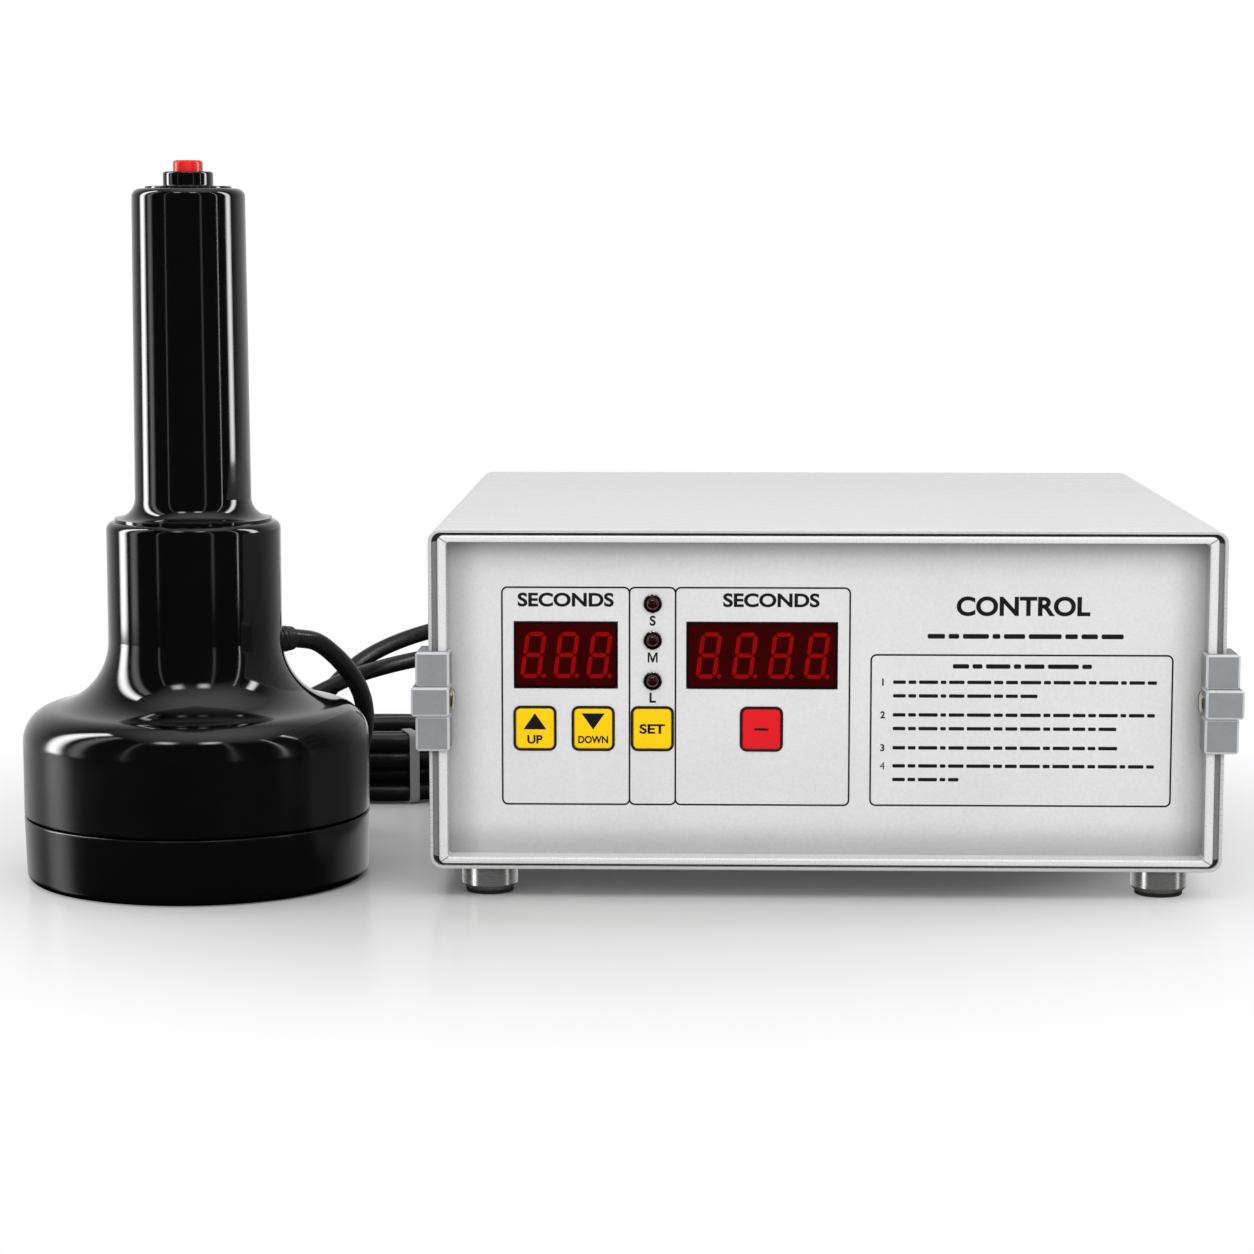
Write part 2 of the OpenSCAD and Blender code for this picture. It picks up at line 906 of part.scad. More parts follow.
// Shell-type core on the case floor with the winding on its middle leg
module transformer() {
    window_w = (core_w - 4 * core_leg) / 2;
    color("peru")
        translate([core_x, core_y, case_floor + core_h / 2]) {
            difference() {
                cube([core_w, core_l, core_h], center = true);
                for (x = [-1, 1])
                    translate([x * (core_leg + window_w / 2), 0, 0])
                        cube([window_w, core_l + 2 * cut, core_h - 2 * core_leg], center = true);
            }
            cube([core_w - 2 * core_leg, core_l + 2 * winding_over, core_h - 2 * core_leg], center = true);
        }
}

// Rear panel

module rear_panel() {
    color("whitesmoke")
        at_rear()
            along_y(panel_y, panel_back)
                difference() {
                    panel_outline();
                    translate([fan_x, fan_z])
                        for (i = [0:slot_count - 1])
                            translate([0, (i - (slot_count - 1) / 2) * slot_pitch])
                                square([fan_bore_d - 2 * slot_pitch, slot_h], center = true);
                    translate([service_x, switch_z])
                        square([switch_w + 2 * seat_fit, switch_h + 2 * seat_fit], center = true);
                    translate([service_x, fuse_rise])
                        circle(d = fuse_d + 2 * seat_fit);
                    for (place = [head_relief, mains_relief_at])
                        translate(place)
                            circle(d = relief_barrel_d + 2 * seat_fit);
                }
}

// Fan frame on the rear panel: a bored block, and four struts that carry the hub plate
module fan_frame() {
    plate_y = panel_back + fan_depth - fan_plate_t;
    color("dimgray")
        at_rear()
            translate([fan_x, 0, fan_z]) {
                along_y(panel_back, panel_back + fan_depth)
                    difference() {
                        square(fan_size, center = true);
                        circle(d = fan_bore_d);
                    }
                along_y(plate_y, plate_y + fan_plate_t)
                    difference() {
                        union() {
                            circle(d = fan_hub_d + 2);
                            for (a = [45, 135])
                                rotate(a)
                                    square([fan_bore_d + cut, 4], center = true);
                        }
                        circle(d = fan_shaft_d + 2 * bush_gap);
                    }
            }
}

// Fan rotor: hub, tilted blades and the shaft in the hub plate's bush
module fan_rotor() {
    hub_end = panel_back + fan_depth - fan_plate_t - stop_gap;
    hub_start = panel_back + fan_plate_t;
    blade_l = fan_bore_d / 2 - fan_tip_gap - fan_hub_d / 2;
    color("black")
        at_rear()
            translate([fan_x, 0, fan_z]) {
                along_y(hub_start, hub_end)
                    circle(d = fan_hub_d);
                along_y(hub_end - cut, panel_back + fan_depth - stop_gap)
                    circle(d = fan_shaft_d);
                for (i = [0:fan_blades - 1])
                    translate([0, (hub_start + hub_end) / 2, 0])
                        rotate([0, i * 360 / fan_blades, 0])
                            translate([fan_hub_d / 2 - cut, 0, 0])
                                rotate([fan_blade_tilt, 0, 0])
                                    translate([0, -fan_blade_t / 2, -fan_blade_w / 2])
                                        cube([blade_l, fan_blade_t, fan_blade_w]);
            }
}

module power_switch() {
    color("black")
        at_rear()
            translate([service_x, 0, switch_z])
                difference() {
                    union() {
                        along_y(panel_y - switch_flange_t, panel_y)
                            square(
                                [switch_w + 2 * switch_flange, switch_h + 2 * switch_flange],
                                center = true
                            );
                        along_y(panel_y - cut / 2, panel_y + switch_depth)
                            square([switch_w, switch_h], center = true);
                    }
                    along_y(panel_y - switch_flange_t - cut, panel_y + switch_depth / 2)
                        square([rocker_pocket_w, rocker_pocket_h], center = true);
                    translate([-switch_w / 2 - cut, panel_y + rocker_pivot_y, 0])
                        rotate([0, 90, 0])
                            cylinder(d = rocker_pin_d + 2 * bush_gap, h = switch_w + 2 * cut);
                }
}

// Rocker in its off position, with a pin on each side
module power_rocker() {
    end_y = 3.6;
    middle_y = 2;
    heel = 3;
    color("firebrick")
        at_rear()
            translate([service_x, panel_y + rocker_pivot_y, switch_z])
                rotate([-rocker_swing / 2, 0, 0]) {
                    translate([-rocker_w / 2, 0, 0])
                        rotate([90, 0, 90])
                            linear_extrude(rocker_w)
                                polygon([
                                    [-end_y, rocker_half], [-middle_y, 0], [-end_y, -rocker_half],
                                    [1, -rocker_half], [heel, 0], [1, rocker_half]
                                ]);
                    translate([stop_gap - switch_w / 2, 0, 0])
                        rotate([0, 90, 0])
                            cylinder(d = rocker_pin_d, h = switch_w - 2 * stop_gap);
                }
}

module fuse_holder() {
    color("black")
        at_rear()
            translate([service_x, 0, fuse_rise])
                difference() {
                    union() {
                        along_y(panel_y - fuse_flange_t, panel_y)
                            circle(d = fuse_flange_d);
                        along_y(panel_y - cut / 2, panel_y + fuse_depth)
                            circle(d = fuse_d);
                    }
                    along_y(panel_y - fuse_flange_t - cut, panel_y + fuse_bore_depth)
                        circle(d = fuse_bore_d);
                }
}

module fuse_cap() {
    knob_y = panel_y - fuse_flange_t - stop_gap;
    color("black")
        at_rear()
            translate([service_x, 0, fuse_rise])
                difference() {
                    union() {
                        along_y(knob_y - fuse_knob_h, knob_y)
                            circle(d = fuse_d);
                        along_y(knob_y - cut, panel_y + fuse_bore_depth - 2)
                            circle(d = fuse_bore_d - 2 * bush_gap);
                    }
                    along_y(knob_y - fuse_knob_h - cut, knob_y - fuse_knob_h + fuse_slot)
                        square([fuse_d + 2 * cut, fuse_slot], center = true);
                }
}

// Strain relief: barrel through the panel, flange and tapered sleeve
module relief(place) {
    sleeve = relief_reach - relief_flange_t;
    color("black")
        at_rear()
            translate([place[0], 0, place[1]]) {
                along_y(panel_y - cut / 2, panel_back + relief_flange_t)
                    circle(d = relief_barrel_d);
                along_y(panel_y - relief_flange_t, panel_y)
                    circle(d = relief_flange_d);
                translate([0, panel_y - relief_flange_t, 0])
                    rotate([90, 0, 0])
                        cylinder(d1 = relief_root_d, d2 = relief_tip_d, h = sleeve);
            }
}

module head_cable_relief() {
    relief(head_relief);
}

module mains_relief() {
    relief(mains_relief_at);
}

// Sealing head

// Half section of the bell: shoulder and flare are two arcs that meet at their common tangent
module bell_section() {
    polygon(concat(
        [[head_r - seam_bevel, seam_z], [head_r, seam_z + seam_bevel]],
        arc(shoulder_c, shoulder_r, 0, blend_angle),
        arc(flare_c, flare_r, blend_angle + 180, 180),
        arc([neck_r - neck_round, neck_top_z - neck_round], neck_round, 0, 90, 6),
        [[spigot_r + seat_fit, neck_top_z], [spigot_r + seat_fit, neck_top_z - head_wall]],
        [[neck_r - head_wall, neck_top_z - head_wall]],
        arc(flare_c, flare_r + head_wall, 180, blend_angle + 180),
        arc(shoulder_c, shoulder_r - head_wall, blend_angle, 0),
        [[head_r - head_wall, seam_z]]
    ));
}

module bell_housing() {
    color([0.06, 0.06, 0.06])
        at_head()
            difference() {
                rotate_extrude()
                    bell_section();
                translate([0, 0, gland_z])
                    rotate([0, 90, gland_angle])
                        cylinder(d = gland_d + 2 * seat_fit, h = gland_reach);
            }
}

module base_cover() {
    color([0.08, 0.08, 0.08])
        at_head()
            rotate_extrude()
                polygon(concat(
                    [[0, 0]],
                    arc([base_r - base_edge_r, base_edge_r], base_edge_r, -90, 0, 6),
                    [[head_r, seam_z - seam_bevel], [head_r - seam_bevel, seam_z], [lip_r, seam_z]],
                    [[lip_r, seam_z + lip_h], [lip_r - lip_t, seam_z + lip_h]],
                    [[lip_r - lip_t, base_floor], [0, base_floor]]
                ));
}

// Flat coil of touching turns
module induction_coil() {
    color("peru")
        at_head()
            rotate_extrude()
                for (i = [0:coil_turns - 1])
                    translate([coil_r0 + i * coil_pitch, base_floor + coil_wire_d / 2])
                        circle(d = coil_wire_d, $fn = 24);
}

module coil_carrier() {
    color("tan")
        at_head(carrier_z)
            linear_extrude(carrier_t)
                difference() {
                    circle(carrier_r);
                    circle(d = carrier_hole_d);
                }
}

module ferrite_bars() {
    color("dimgray")
        at_head(carrier_z + carrier_t)
            for (i = [0:ferrite_count - 1])
                rotate(i * 360 / ferrite_count)
                    translate([ferrite_r0, -ferrite_w / 2, 0])
                        cube([ferrite_l, ferrite_w, ferrite_h]);
}

// Hollow grip: spigot in the neck, foot with its fillet, tapered tube and round top edge
module handle_grip() {
    color([0.06, 0.06, 0.06])
        at_head()
            rotate_extrude()
                polygon(concat(
                    [[spigot_bore_r, neck_top_z - spigot_h], [spigot_r, neck_top_z - spigot_h]],
                    [[spigot_r, neck_top_z], [grip_foot_r, neck_top_z]],
                    arc([grip_foot_r, grip_fillet_z], grip_fillet, 270, 180, 8),
                    arc([grip_top_r - grip_round, grip_top_z - grip_round], grip_round, 0, 90, 6),
                    [[grip_hole_r, grip_top_z], [grip_hole_r, plug_z], [grip_top_r - head_wall, plug_z]],
                    [[grip_r - head_wall, grip_fillet_z], [spigot_bore_r, neck_top_z + grip_foot_t]]
                ));
}

// Plate and collar on the grip's end, with two arms that carry the trigger switch
module button_collar() {
    color([0.05, 0.05, 0.05])
        at_head() {
            rotate_extrude()
                polygon([
                    [button_d / 2 + seat_fit, plug_z], [grip_hole_r - seat_fit, plug_z],
                    [grip_hole_r - seat_fit, grip_top_z], [end_plate_d / 2, grip_top_z],
                    [end_plate_d / 2, grip_top_z + end_plate_t], [collar_d / 2, grip_top_z + end_plate_t],
                    [collar_d / 2, collar_top_z - button_edge], [collar_d / 2 - button_edge, collar_top_z],
                    [button_d / 2 + seat_fit, collar_top_z]
                ]);
            for (x = [-1, 1])
                translate([x * (trigger_w + arm_t) / 2, 0, (plug_z + trigger_top_z - trigger_h) / 2])
                    cube([arm_t, trigger_l, plug_z - trigger_top_z + trigger_h], center = true);
        }
}

module trigger_button() {
    color("red")
        at_head()
            rotate_extrude()
                polygon([
                    [0, button_flange_z - trigger_stem_h],
                    [trigger_stem_d / 2, button_flange_z - trigger_stem_h],
                    [trigger_stem_d / 2, button_flange_z], [button_flange_d / 2, button_flange_z],
                    [button_flange_d / 2, button_flange_z + button_flange_t],
                    [button_d / 2, button_flange_z + button_flange_t],
                    [button_d / 2, button_top_z - button_edge], [button_d / 2 - button_edge, button_top_z],
                    [0, button_top_z]
                ]);
}

module trigger_switch() {
    color("dimgray")
        at_head() {
            translate([-trigger_w / 2, -trigger_l / 2, trigger_top_z - trigger_h])
                cube([trigger_w, trigger_l, trigger_h]);
            translate([0, 0, trigger_top_z - cut])
                cylinder(d = trigger_plunger_d, h = trigger_plunger_h + cut);
        }
}

// Gland in the neck's wall, its outer end tapered to the cable
module head_gland() {
    color("black")
        at_head(gland_z)
            rotate([0, 90, gland_angle]) {
                translate([0, 0, gland_root_r])
                    cylinder(d = gland_d, h = gland_taper_r - gland_root_r);
                translate([0, 0, gland_taper_r])
                    cylinder(d1 = gland_d, d2 = gland_tip_d, h = gland_reach - gland_taper_r);
            }
}

// Cables

function unit(v) = v / norm(v);

// Direction of a route at point i
function heading(route, i) = unit(route[min(i + 1, len(route) - 1)] - route[max(i - 1, 0)]);

// Ring of points square to the route at point i
function ring(route, i) =
    let (t = heading(route, i), side = unit(cross(t, [0, 0, 1])), up = cross(side, t))
    [for (k = [0:cord_sides - 1])
        let (a = 360 * k / cord_sides)
        route[i] + cord_d / 2 * (cos(a) * side + sin(a) * up)];

// Tube swept along a route
module cord_tube(route) {
    last = len(route) - 1;
    points = [for (i = [0:last]) each ring(route, i)];
    walls = [for (i = [0:last - 1], k = [0:cord_sides - 1])
        let (row = i * cord_sides, next = (k + 1) % cord_sides)
        [row + k, row + next, row + cord_sides + next, row + cord_sides + k]];
    near_end = [for (k = [cord_sides - 1:-1:0]) k];
    far_end = [for (k = [0:cord_sides - 1]) last * cord_sides + k];
    color([0.07, 0.07, 0.07])
        polyhedron(points, concat(walls, [near_end, far_end]));
}

// Stadium outline round the two fold centres
module hank_outline(r) {
    square([hank_run, 2 * r], center = true);
    for (x = [-1, 1])
        translate([x * hank_run / 2, 0])
            circle(r);
}

// Outer shape of one hank, two layers high
module hank(z) {
    color([0.07, 0.07, 0.07])
        translate([hank_c[0], hank_c[1], z])
            linear_extrude(2 * cord_d)
                difference() {
                    hank_outline(hank_fold_r + cord_d);
                    hank_outline(hank_fold_r - cord_d);
                }
}

module head_cable() {
    cord_tube(head_route);
}

module head_hank() {
    hank(hank_z);
}

module head_cable_tail() {
    cord_tube(tail_route);
}

module mains_lead() {
    cord_tube(mains_route);
}

module mains_hank() {
    hank(hank_z + 2 * cord_d);
}

module mains_tail() {
    cord_tube(plug_route);
}

// Moves to the cable end of the plug, with Z running towards the pins
module at_plug() {
    translate(plug_route[len(plug_route) - 1])
        rotate([0, -90, 0])
            children();
}

module mains_plug() {
    color([0.07, 0.07, 0.07])
        at_plug() {
            cylinder(d1 = relief_tip_d, d2 = relief_root_d, h = plug_sleeve);
            translate([-plug_t / 2, 0, plug_sleeve])
                rotate([90, 0, 90])
                    linear_extrude(plug_t)
                        polygon([
                            [-plug_waist / 2, 0], [plug_waist / 2, 0], [plug_w / 2, plug_nose],
                            [plug_w / 2, plug_l], [-plug_w / 2, plug_l], [-plug_w / 2, plug_nose]
                        ]);
        }
}

module plug_pins() {
    color("gold")
        at_plug()
            for (y = [-1, 1])
                translate([0, y * pin_pitch / 2, plug_sleeve + plug_l])
                    cylinder(d = pin_d, h = pin_l);
}

// Flat tie round the front rows of both hanks, where they start to fold
module cable_tie() {
    room_w = 2 * cord_d + 2 * tie_slack;
    room_h = 4 * cord_d + 2 * tie_slack;
    color("lightgray")
        translate([hank_c[0] + hank_run / 2, hank_c[1], hank_z + 2 * cord_d])
            rotate(tie_turn)
                translate([0, -hank_fold_r, 0])
                    difference() {
                        cube([tie_w, room_w + 2 * tie_t, room_h + tie_t], center = true);
                        cube([tie_w + 2 * cut, room_w, room_h], center = true);
                    }
}

top_cover();
bottom_cover();
front_bezel();
rear_bezel();
front_panel();
rear_panel();
clamp_front_left();
clamp_front_right();
clamp_rear_left();
clamp_rear_right();
clamp_screws();
foot_cups();
foot_pads();
seal_window();
hold_window();
seal_display();
hold_display();
lamp_rings();
lamp_small();
lamp_medium();
lamp_large();
key_up();
key_down();
key_set();
key_minus();
key_rims();
key_switches();
control_board();
board_posts();
power_board();
heatsink();
transformer();
fan_frame();
fan_rotor();
power_switch();
power_rocker();
fuse_holder();
fuse_cap();
head_cable_relief();
mains_relief();
handle_grip();
bell_housing();
base_cover();
coil_carrier();
induction_coil();
ferrite_bars();
trigger_button();
button_collar();
trigger_switch();
head_gland();
head_cable();
head_hank();
head_cable_tail();
mains_lead();
mains_hank();
mains_tail();
mains_plug();
plug_pins();
cable_tie();
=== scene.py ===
"""Looks of a handheld induction cap sealer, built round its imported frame.

Sizes are in millimetres along the frame's axes: +X to the right, +Y to the back, +Z up.
They become metres when a mesh is made. Lamps, floor and camera are in metres.
"""

import logging
import math
from dataclasses import dataclass, field, replace
from enum import Enum
from typing import Any, Sequence

import bmesh
import bpy
import numpy as np
from mathutils import Matrix, Vector


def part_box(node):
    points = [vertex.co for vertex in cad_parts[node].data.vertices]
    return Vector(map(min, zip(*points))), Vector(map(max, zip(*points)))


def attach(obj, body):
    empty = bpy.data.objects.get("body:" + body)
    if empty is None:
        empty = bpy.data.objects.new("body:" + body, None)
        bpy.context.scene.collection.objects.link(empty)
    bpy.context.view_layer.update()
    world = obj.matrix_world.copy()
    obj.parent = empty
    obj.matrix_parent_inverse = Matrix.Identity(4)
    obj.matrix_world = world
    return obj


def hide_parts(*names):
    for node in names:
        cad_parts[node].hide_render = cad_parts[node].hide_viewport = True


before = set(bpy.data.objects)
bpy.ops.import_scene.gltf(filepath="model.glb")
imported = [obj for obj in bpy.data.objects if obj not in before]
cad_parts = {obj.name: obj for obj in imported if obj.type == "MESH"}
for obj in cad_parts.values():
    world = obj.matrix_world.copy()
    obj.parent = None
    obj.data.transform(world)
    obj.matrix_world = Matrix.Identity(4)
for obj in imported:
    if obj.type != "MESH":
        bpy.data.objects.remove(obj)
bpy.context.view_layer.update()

log = logging.getLogger("cap_sealer")

Array = np.ndarray
Pair = tuple[float, float]
Point = tuple[float, float, float]
Colour = tuple[float, float, float]
Box = tuple[float, float, float, float]
Socket = bpy.types.NodeSocket
Value = Socket | float
Inputs = dict[str | int, Any]

MM = 0.001
CORNERS = ((-1, -1), (-1, 1), (1, -1), (1, 1))  # X and Y side of each corner of the case
QUARTER = np.radians(np.linspace(0, 90, 7))  # angles of a rounded edge
POLE = (0.1, 0.1, 0.05)  # rectangle that is small enough to close a face
FINE_POLE = (0.02, 0.02, 0.01)
GUARD, SHORT_GUARD = 0.35, 0.1  # distance of guard points from the ends of a line
GUARD_SHARE = 0.3  # most of a short line's length that this distance may take
CURVE_STEPS = 12  # stretches of a cubic before it is measured
SAME_POINT = 1e-6
MERGE_DISTANCE = 1e-7

WHITE = (1.0, 1.0, 1.0, 1.0)
# colour of painted shade
SHADOW: Colour = (0.04, 0.04, 0.04)
COAT_ROUGHNESS = 0.06
LEAST_ROUGHNESS = 0.02
FINE_DETAIL, PATCH_DETAIL = 4.0, 2.0
GRAIN_SPAN = (0.3, 0.7)  # most of a noise's values lie in it
SATIN_START = 0.75  # share of its height from which the satin fades

LETTER_DEPTH = 0.01
LETTER_WEIGHT = 0.032
THIN_FIGURE = "4"  # its outline breaks when it is thickened


class Body(Enum):
    """Bodies of the frame that the pieces move with."""

    UNIT = "unit"
    TRIGGER = "trigger"
    UP = "up"
    DOWN = "down"
    SET = "set"
    MINUS = "minus"
    ROCKER = "rocker"


class Grain(Enum):
    """Lie of a finish's fine pattern, as the squeeze of its noise along X, Y and Z."""

    EVEN = (1.0, 1.0, 1.0)
    ALONG_X = (0.005, 1.0, 1.0)
    ALONG_Z = (1.0, 1.0, 0.012)
    ROUND_Z = (0.03, 0.03, 1.0)


class Tree:
    """Nodes of a material, lamp or world, written as nested calls."""

    def __init__(self, owner: bpy.types.ID) -> None:
        """Switches the owner's nodes on."""
        owner.use_nodes = True
        self.nodes, self.links = owner.node_tree.nodes, owner.node_tree.links

    def fill(self, node: bpy.types.Node, inputs: Inputs) -> bpy.types.Node:
        """Gives a node's inputs their values, and links those that get a socket.

        Args:
            node: node to fill.
            inputs: value or socket of each input, by name or number.

        Returns:
            The node.
        """
        for key, value in inputs.items():
            if isinstance(value, Socket):
                self.links.new(value, node.inputs[key])
            else:
                node.inputs[key].default_value = value
        return node

    def add(self, kind: str, inputs: Inputs, out: str | int = 0, **options: str) -> Socket:
        """Adds a node.

        Args:
            kind: its type, without the prefix that all shader nodes share.
            inputs: value or socket of each input, by name or number.
            out: the output that is wanted.
            options: settings of the node.

        Returns:
            That output.
        """
        node = self.nodes.new(f"ShaderNode{kind}")
        for name, value in options.items():
            setattr(node, name, value)
        return self.fill(node, inputs).outputs[out]

    def math(self, operation: str, *values: Value) -> Socket:
        """Works out one number from others."""
        return self.add("Math", dict(enumerate(values)), operation=operation)

    def vector(self, operation: str, *values: Socket | Point, out: str = "Vector") -> Socket:
        """Works out a vector, or a number, from vectors."""
        return self.add("VectorMath", dict(enumerate(values)), out, operation=operation)

    def axis(self, vector: Socket, name: str) -> Socket:
        """Takes one coordinate of a vector."""
        return self.add("SeparateXYZ", {"Vector": vector}, name)

    def noise(self, place: Socket, size_mm: float, detail: float) -> Socket:
        """Makes a noise whose features are about size_mm across."""
        inputs = {"Vector": place, "Scale": 1.0 / (size_mm * MM), "Detail": detail}
        return self.add("TexNoise", inputs, "Fac")

    def blend(self, factor: Value, first: Value, second: Value) -> Socket:
        """Mixes two numbers."""
        return self.add("Mix", {"Factor": factor, "A": first, "B": second}, "Result")

    def mix(self, factor: Socket, first: Socket | Colour, second: Colour) -> Socket:
        """Mixes two colours."""
        base = first if isinstance(first, Socket) else (*first, 1.0)
        return self.add("Mix", {0: factor, 6: base, 7: (*second, 1.0)}, 2, data_type="RGBA")

    def ramp(
        self, value: Socket, span: Pair, result: Pair = (0.0, 1.0), kind: str = "SMOOTHSTEP"
    ) -> Socket:
        """Carries a value from one range to another.

        Args:
            value: the value.
            span: range that it comes from.
            result: range that it goes to.
            kind: way from the one end to the other.

        Returns:
            The new value.
        """
        inputs = {"Value": value, "From Min": span[0], "From Max": span[1]}
        inputs |= {"To Min": result[0], "To Max": result[1]}
        return self.add("MapRange", inputs, "Result", interpolation_type=kind)


@dataclass(frozen=True)
class Finish:
    """A surface finish: a colour with soft patches, and a fine grain in its gloss and relief.

    The fields give the material's name, the record's slot, the two colours that the patches mix,
    the roughness and how far it varies, the sizes of grain, relief and patches, and the grain's
    share in the colour. Faces marked as edges take the edge colour, which paints shade into grooves
    and recesses, paints a highlight on bevels or darkens the line of a joint. Satin is the
    roughness that is added below a height, glow is painted light that the colour gives off, and
    shade is painted shade that darkens a face that looks to the front towards its own edges.
    """

    name: str
    slot: str
    colour: Colour
    tint: Colour
    roughness: float
    metallic: float = 0.0
    spread: float = 0.05
    grain: Grain = Grain.EVEN
    grain_mm: float = 0.5
    relief_mm: float = 0.004
    patch_mm: float = 30.0
    speckle: float = 0.2
    coat: float = 0.0
    ior: float = 1.5
    glow: float = 0.0
    satin: float = 0.0
    satin_top_mm: float = 0.0
    edge: Colour | None = None
    shade: float = 0.0
    shade_mm: float = 16.0
    shade_box: Box = (0.0, 0.0, 1.0, 1.0)

    def material(self) -> bpy.types.Material:
        """Makes the node material once, and finds it again after that.

        Returns:
            The material of this finish.
        """
        found = bpy.data.materials.get(self.name)
        if found is not None:
            return found
        material = bpy.data.materials.new(self.name)
        tree = Tree(material)
        place = tree.add("TexCoord", {}, "Object")
        squeezed = tree.add("Mapping", {"Vector": place, "Scale": self.grain.value})
        fine = tree.noise(squeezed, self.grain_mm, FINE_DETAIL)
        patches = tree.noise(place, self.patch_mm, PATCH_DETAIL)
        shown = tree.mix(tree.blend(self.speckle, patches, fine), self.colour, self.tint)
        # faces marked as edges take the edge colour: painted shade, painted highlight or a dark
        # joint line
        if self.edge is not None:
            mark = tree.add("Attribute", {}, "Fac", attribute_name="edge")
            shown = tree.mix(mark, shown, self.edge)
        # painted shade towards the face's edges
        if self.shade > 0.0:
            shown = self._paint_shade(tree, place, shown)
        dull = (max(self.roughness - self.spread, LEAST_ROUGHNESS), self.roughness + self.spread)
        gloss = tree.ramp(fine, GRAIN_SPAN, dull, "LINEAR")
        if self.satin > 0.0:
            top = self.satin_top_mm * MM
            lower = tree.ramp(tree.axis(place, "Z"), (SATIN_START * top, top), (self.satin, 0.0))
            gloss = tree.math("ADD", gloss, lower)
        inputs: Inputs = {
            "Base Color": shown, "Metallic": self.metallic, "Roughness": gloss, "IOR": self.ior,
            "Coat Weight": self.coat, "Coat Roughness": COAT_ROUGHNESS,
            "Normal": tree.add("Bump", {"Distance": self.relief_mm * MM, "Height": fine}),
        }
        # painted light: the colour also gives off light
        if self.glow > 0.0:
            inputs |= {"Emission Color": shown, "Emission Strength": self.glow}
        tree.fill(tree.nodes["Principled BSDF"], inputs)
        return material

    def _paint_shade(self, tree: Tree, place: Socket, shown: Socket) -> Socket:
        """Paints shade: darkens a colour where the way to the nearest edge of the face is short, as
        a recess shades it.

        Args:
            tree: nodes of the material.
            place: the object's coordinates.
            shown: colour to darken.

        Returns:
            The darkened colour.
        """
        centre_x, centre_z, half_w, half_h = (value * MM for value in self.shade_box)
        away = tree.vector("ABSOLUTE", tree.vector("SUBTRACT", place, (centre_x, 0.0, centre_z)))
        room = tree.vector("SUBTRACT", (half_w, 0.0, half_h), away)
        for name in "XZ":
            span = (0.0, self.shade_mm * MM)
            dark = tree.ramp(tree.axis(room, name), span, (self.shade, 0.0), "SMOOTHERSTEP")
            shown = tree.mix(dark, shown, SHADOW)
        return shown


HEAD_GLOSS = Finish(
    "gloss_black_moulding", "bell_black", (0.0010, 0.0010, 0.0011), (0.0022, 0.0022, 0.0024), 0.08,
    spread=0.02, grain_mm=9.0, relief_mm=0.006, ior=1.55, satin=0.16, satin_top_mm=60.0,
)
BASE_SATIN = Finish(
    "satin_black_moulding", "base_black", (0.0012, 0.0012, 0.0013), (0.0028, 0.0028, 0.0030), 0.22,
    grain_mm=0.35, relief_mm=0.002, ior=1.5,
)
BUTTON_RED = Finish(
    "red_button_moulding", "button_red", (0.92, 0.010, 0.010), (0.82, 0.006, 0.006), 0.28,
    grain_mm=2.0, relief_mm=0.003, patch_mm=6.0, coat=0.2, ior=1.4,
)
COVER_METAL = Finish(
    "brushed_cover", "cover_metal", (0.84, 0.84, 0.845), (0.77, 0.77, 0.78), 0.32,
    metallic=0.4, spread=0.1, grain=Grain.ALONG_X, grain_mm=0.35, relief_mm=0.003, patch_mm=80.0,
)
# the edge colour paints shade into the bezel's groove and inner returns, and darkens its mitre
# joints
BEZEL_METAL = Finish(
    "satin_bezel", "bezel_metal", (0.93, 0.93, 0.935), (0.84, 0.84, 0.85), 0.3,
    metallic=0.25, spread=0.04, grain_mm=0.6, relief_mm=0.0006, patch_mm=12.0,
    edge=(0.03, 0.03, 0.031),
)
# the panel's shade is painted shade, darker towards the bezel's opening
PANEL_METAL = Finish(
    "blasted_panel", "panel_metal", (0.83, 0.83, 0.837), (0.63, 0.63, 0.638), 0.5,
    metallic=0.1, spread=0.1, grain_mm=0.9, relief_mm=0.03, patch_mm=25.0, speckle=0.6,
    shade=0.36, shade_mm=15.0,
)
# the edge colour is a painted highlight on the clamps' bevels
CLAMP_GREY = Finish(
    "grained_clamp", "clamp_grey", (0.31, 0.32, 0.335), (0.22, 0.23, 0.242), 0.55,
    metallic=0.1, spread=0.1, grain_mm=0.5, relief_mm=0.03, patch_mm=4.0, speckle=0.5,
    edge=(0.6, 0.61, 0.63),
)
SCREW_BRASS = Finish(
    "nickel_screw", "screw_brass", (0.72, 0.66, 0.55), (0.6, 0.53, 0.42), 0.25,
    metallic=1.0, grain_mm=0.3, relief_mm=0.003, patch_mm=3.0,
)
FOOT_STEEL = Finish(
    "turned_foot", "foot_steel", (0.74, 0.735, 0.725), (0.58, 0.575, 0.565), 0.28,
    metallic=0.85, spread=0.1, grain=Grain.ROUND_Z, grain_mm=0.25, relief_mm=0.005, patch_mm=9.0,
)
PAD_RUBBER = Finish(
    "sole_rubber", "pad_rubber", (0.012, 0.012, 0.012), (0.02, 0.02, 0.02), 0.75,
    grain_mm=0.6, relief_mm=0.02, patch_mm=5.0,
)
WINDOW_EDGE = Finish(
    "window_edge", "window_red", (0.006, 0.002, 0.002), (0.01, 0.002, 0.002), 0.12,
    grain_mm=8.0, relief_mm=0.002, patch_mm=20.0,
)
WINDOW_FIELD = Finish(
    "window_field", "window_red", (0.046, 0.0003, 0.0003), (0.020, 0.0002, 0.0002), 0.16,
    grain_mm=8.0, relief_mm=0.002, patch_mm=9.0, ior=1.25,
)
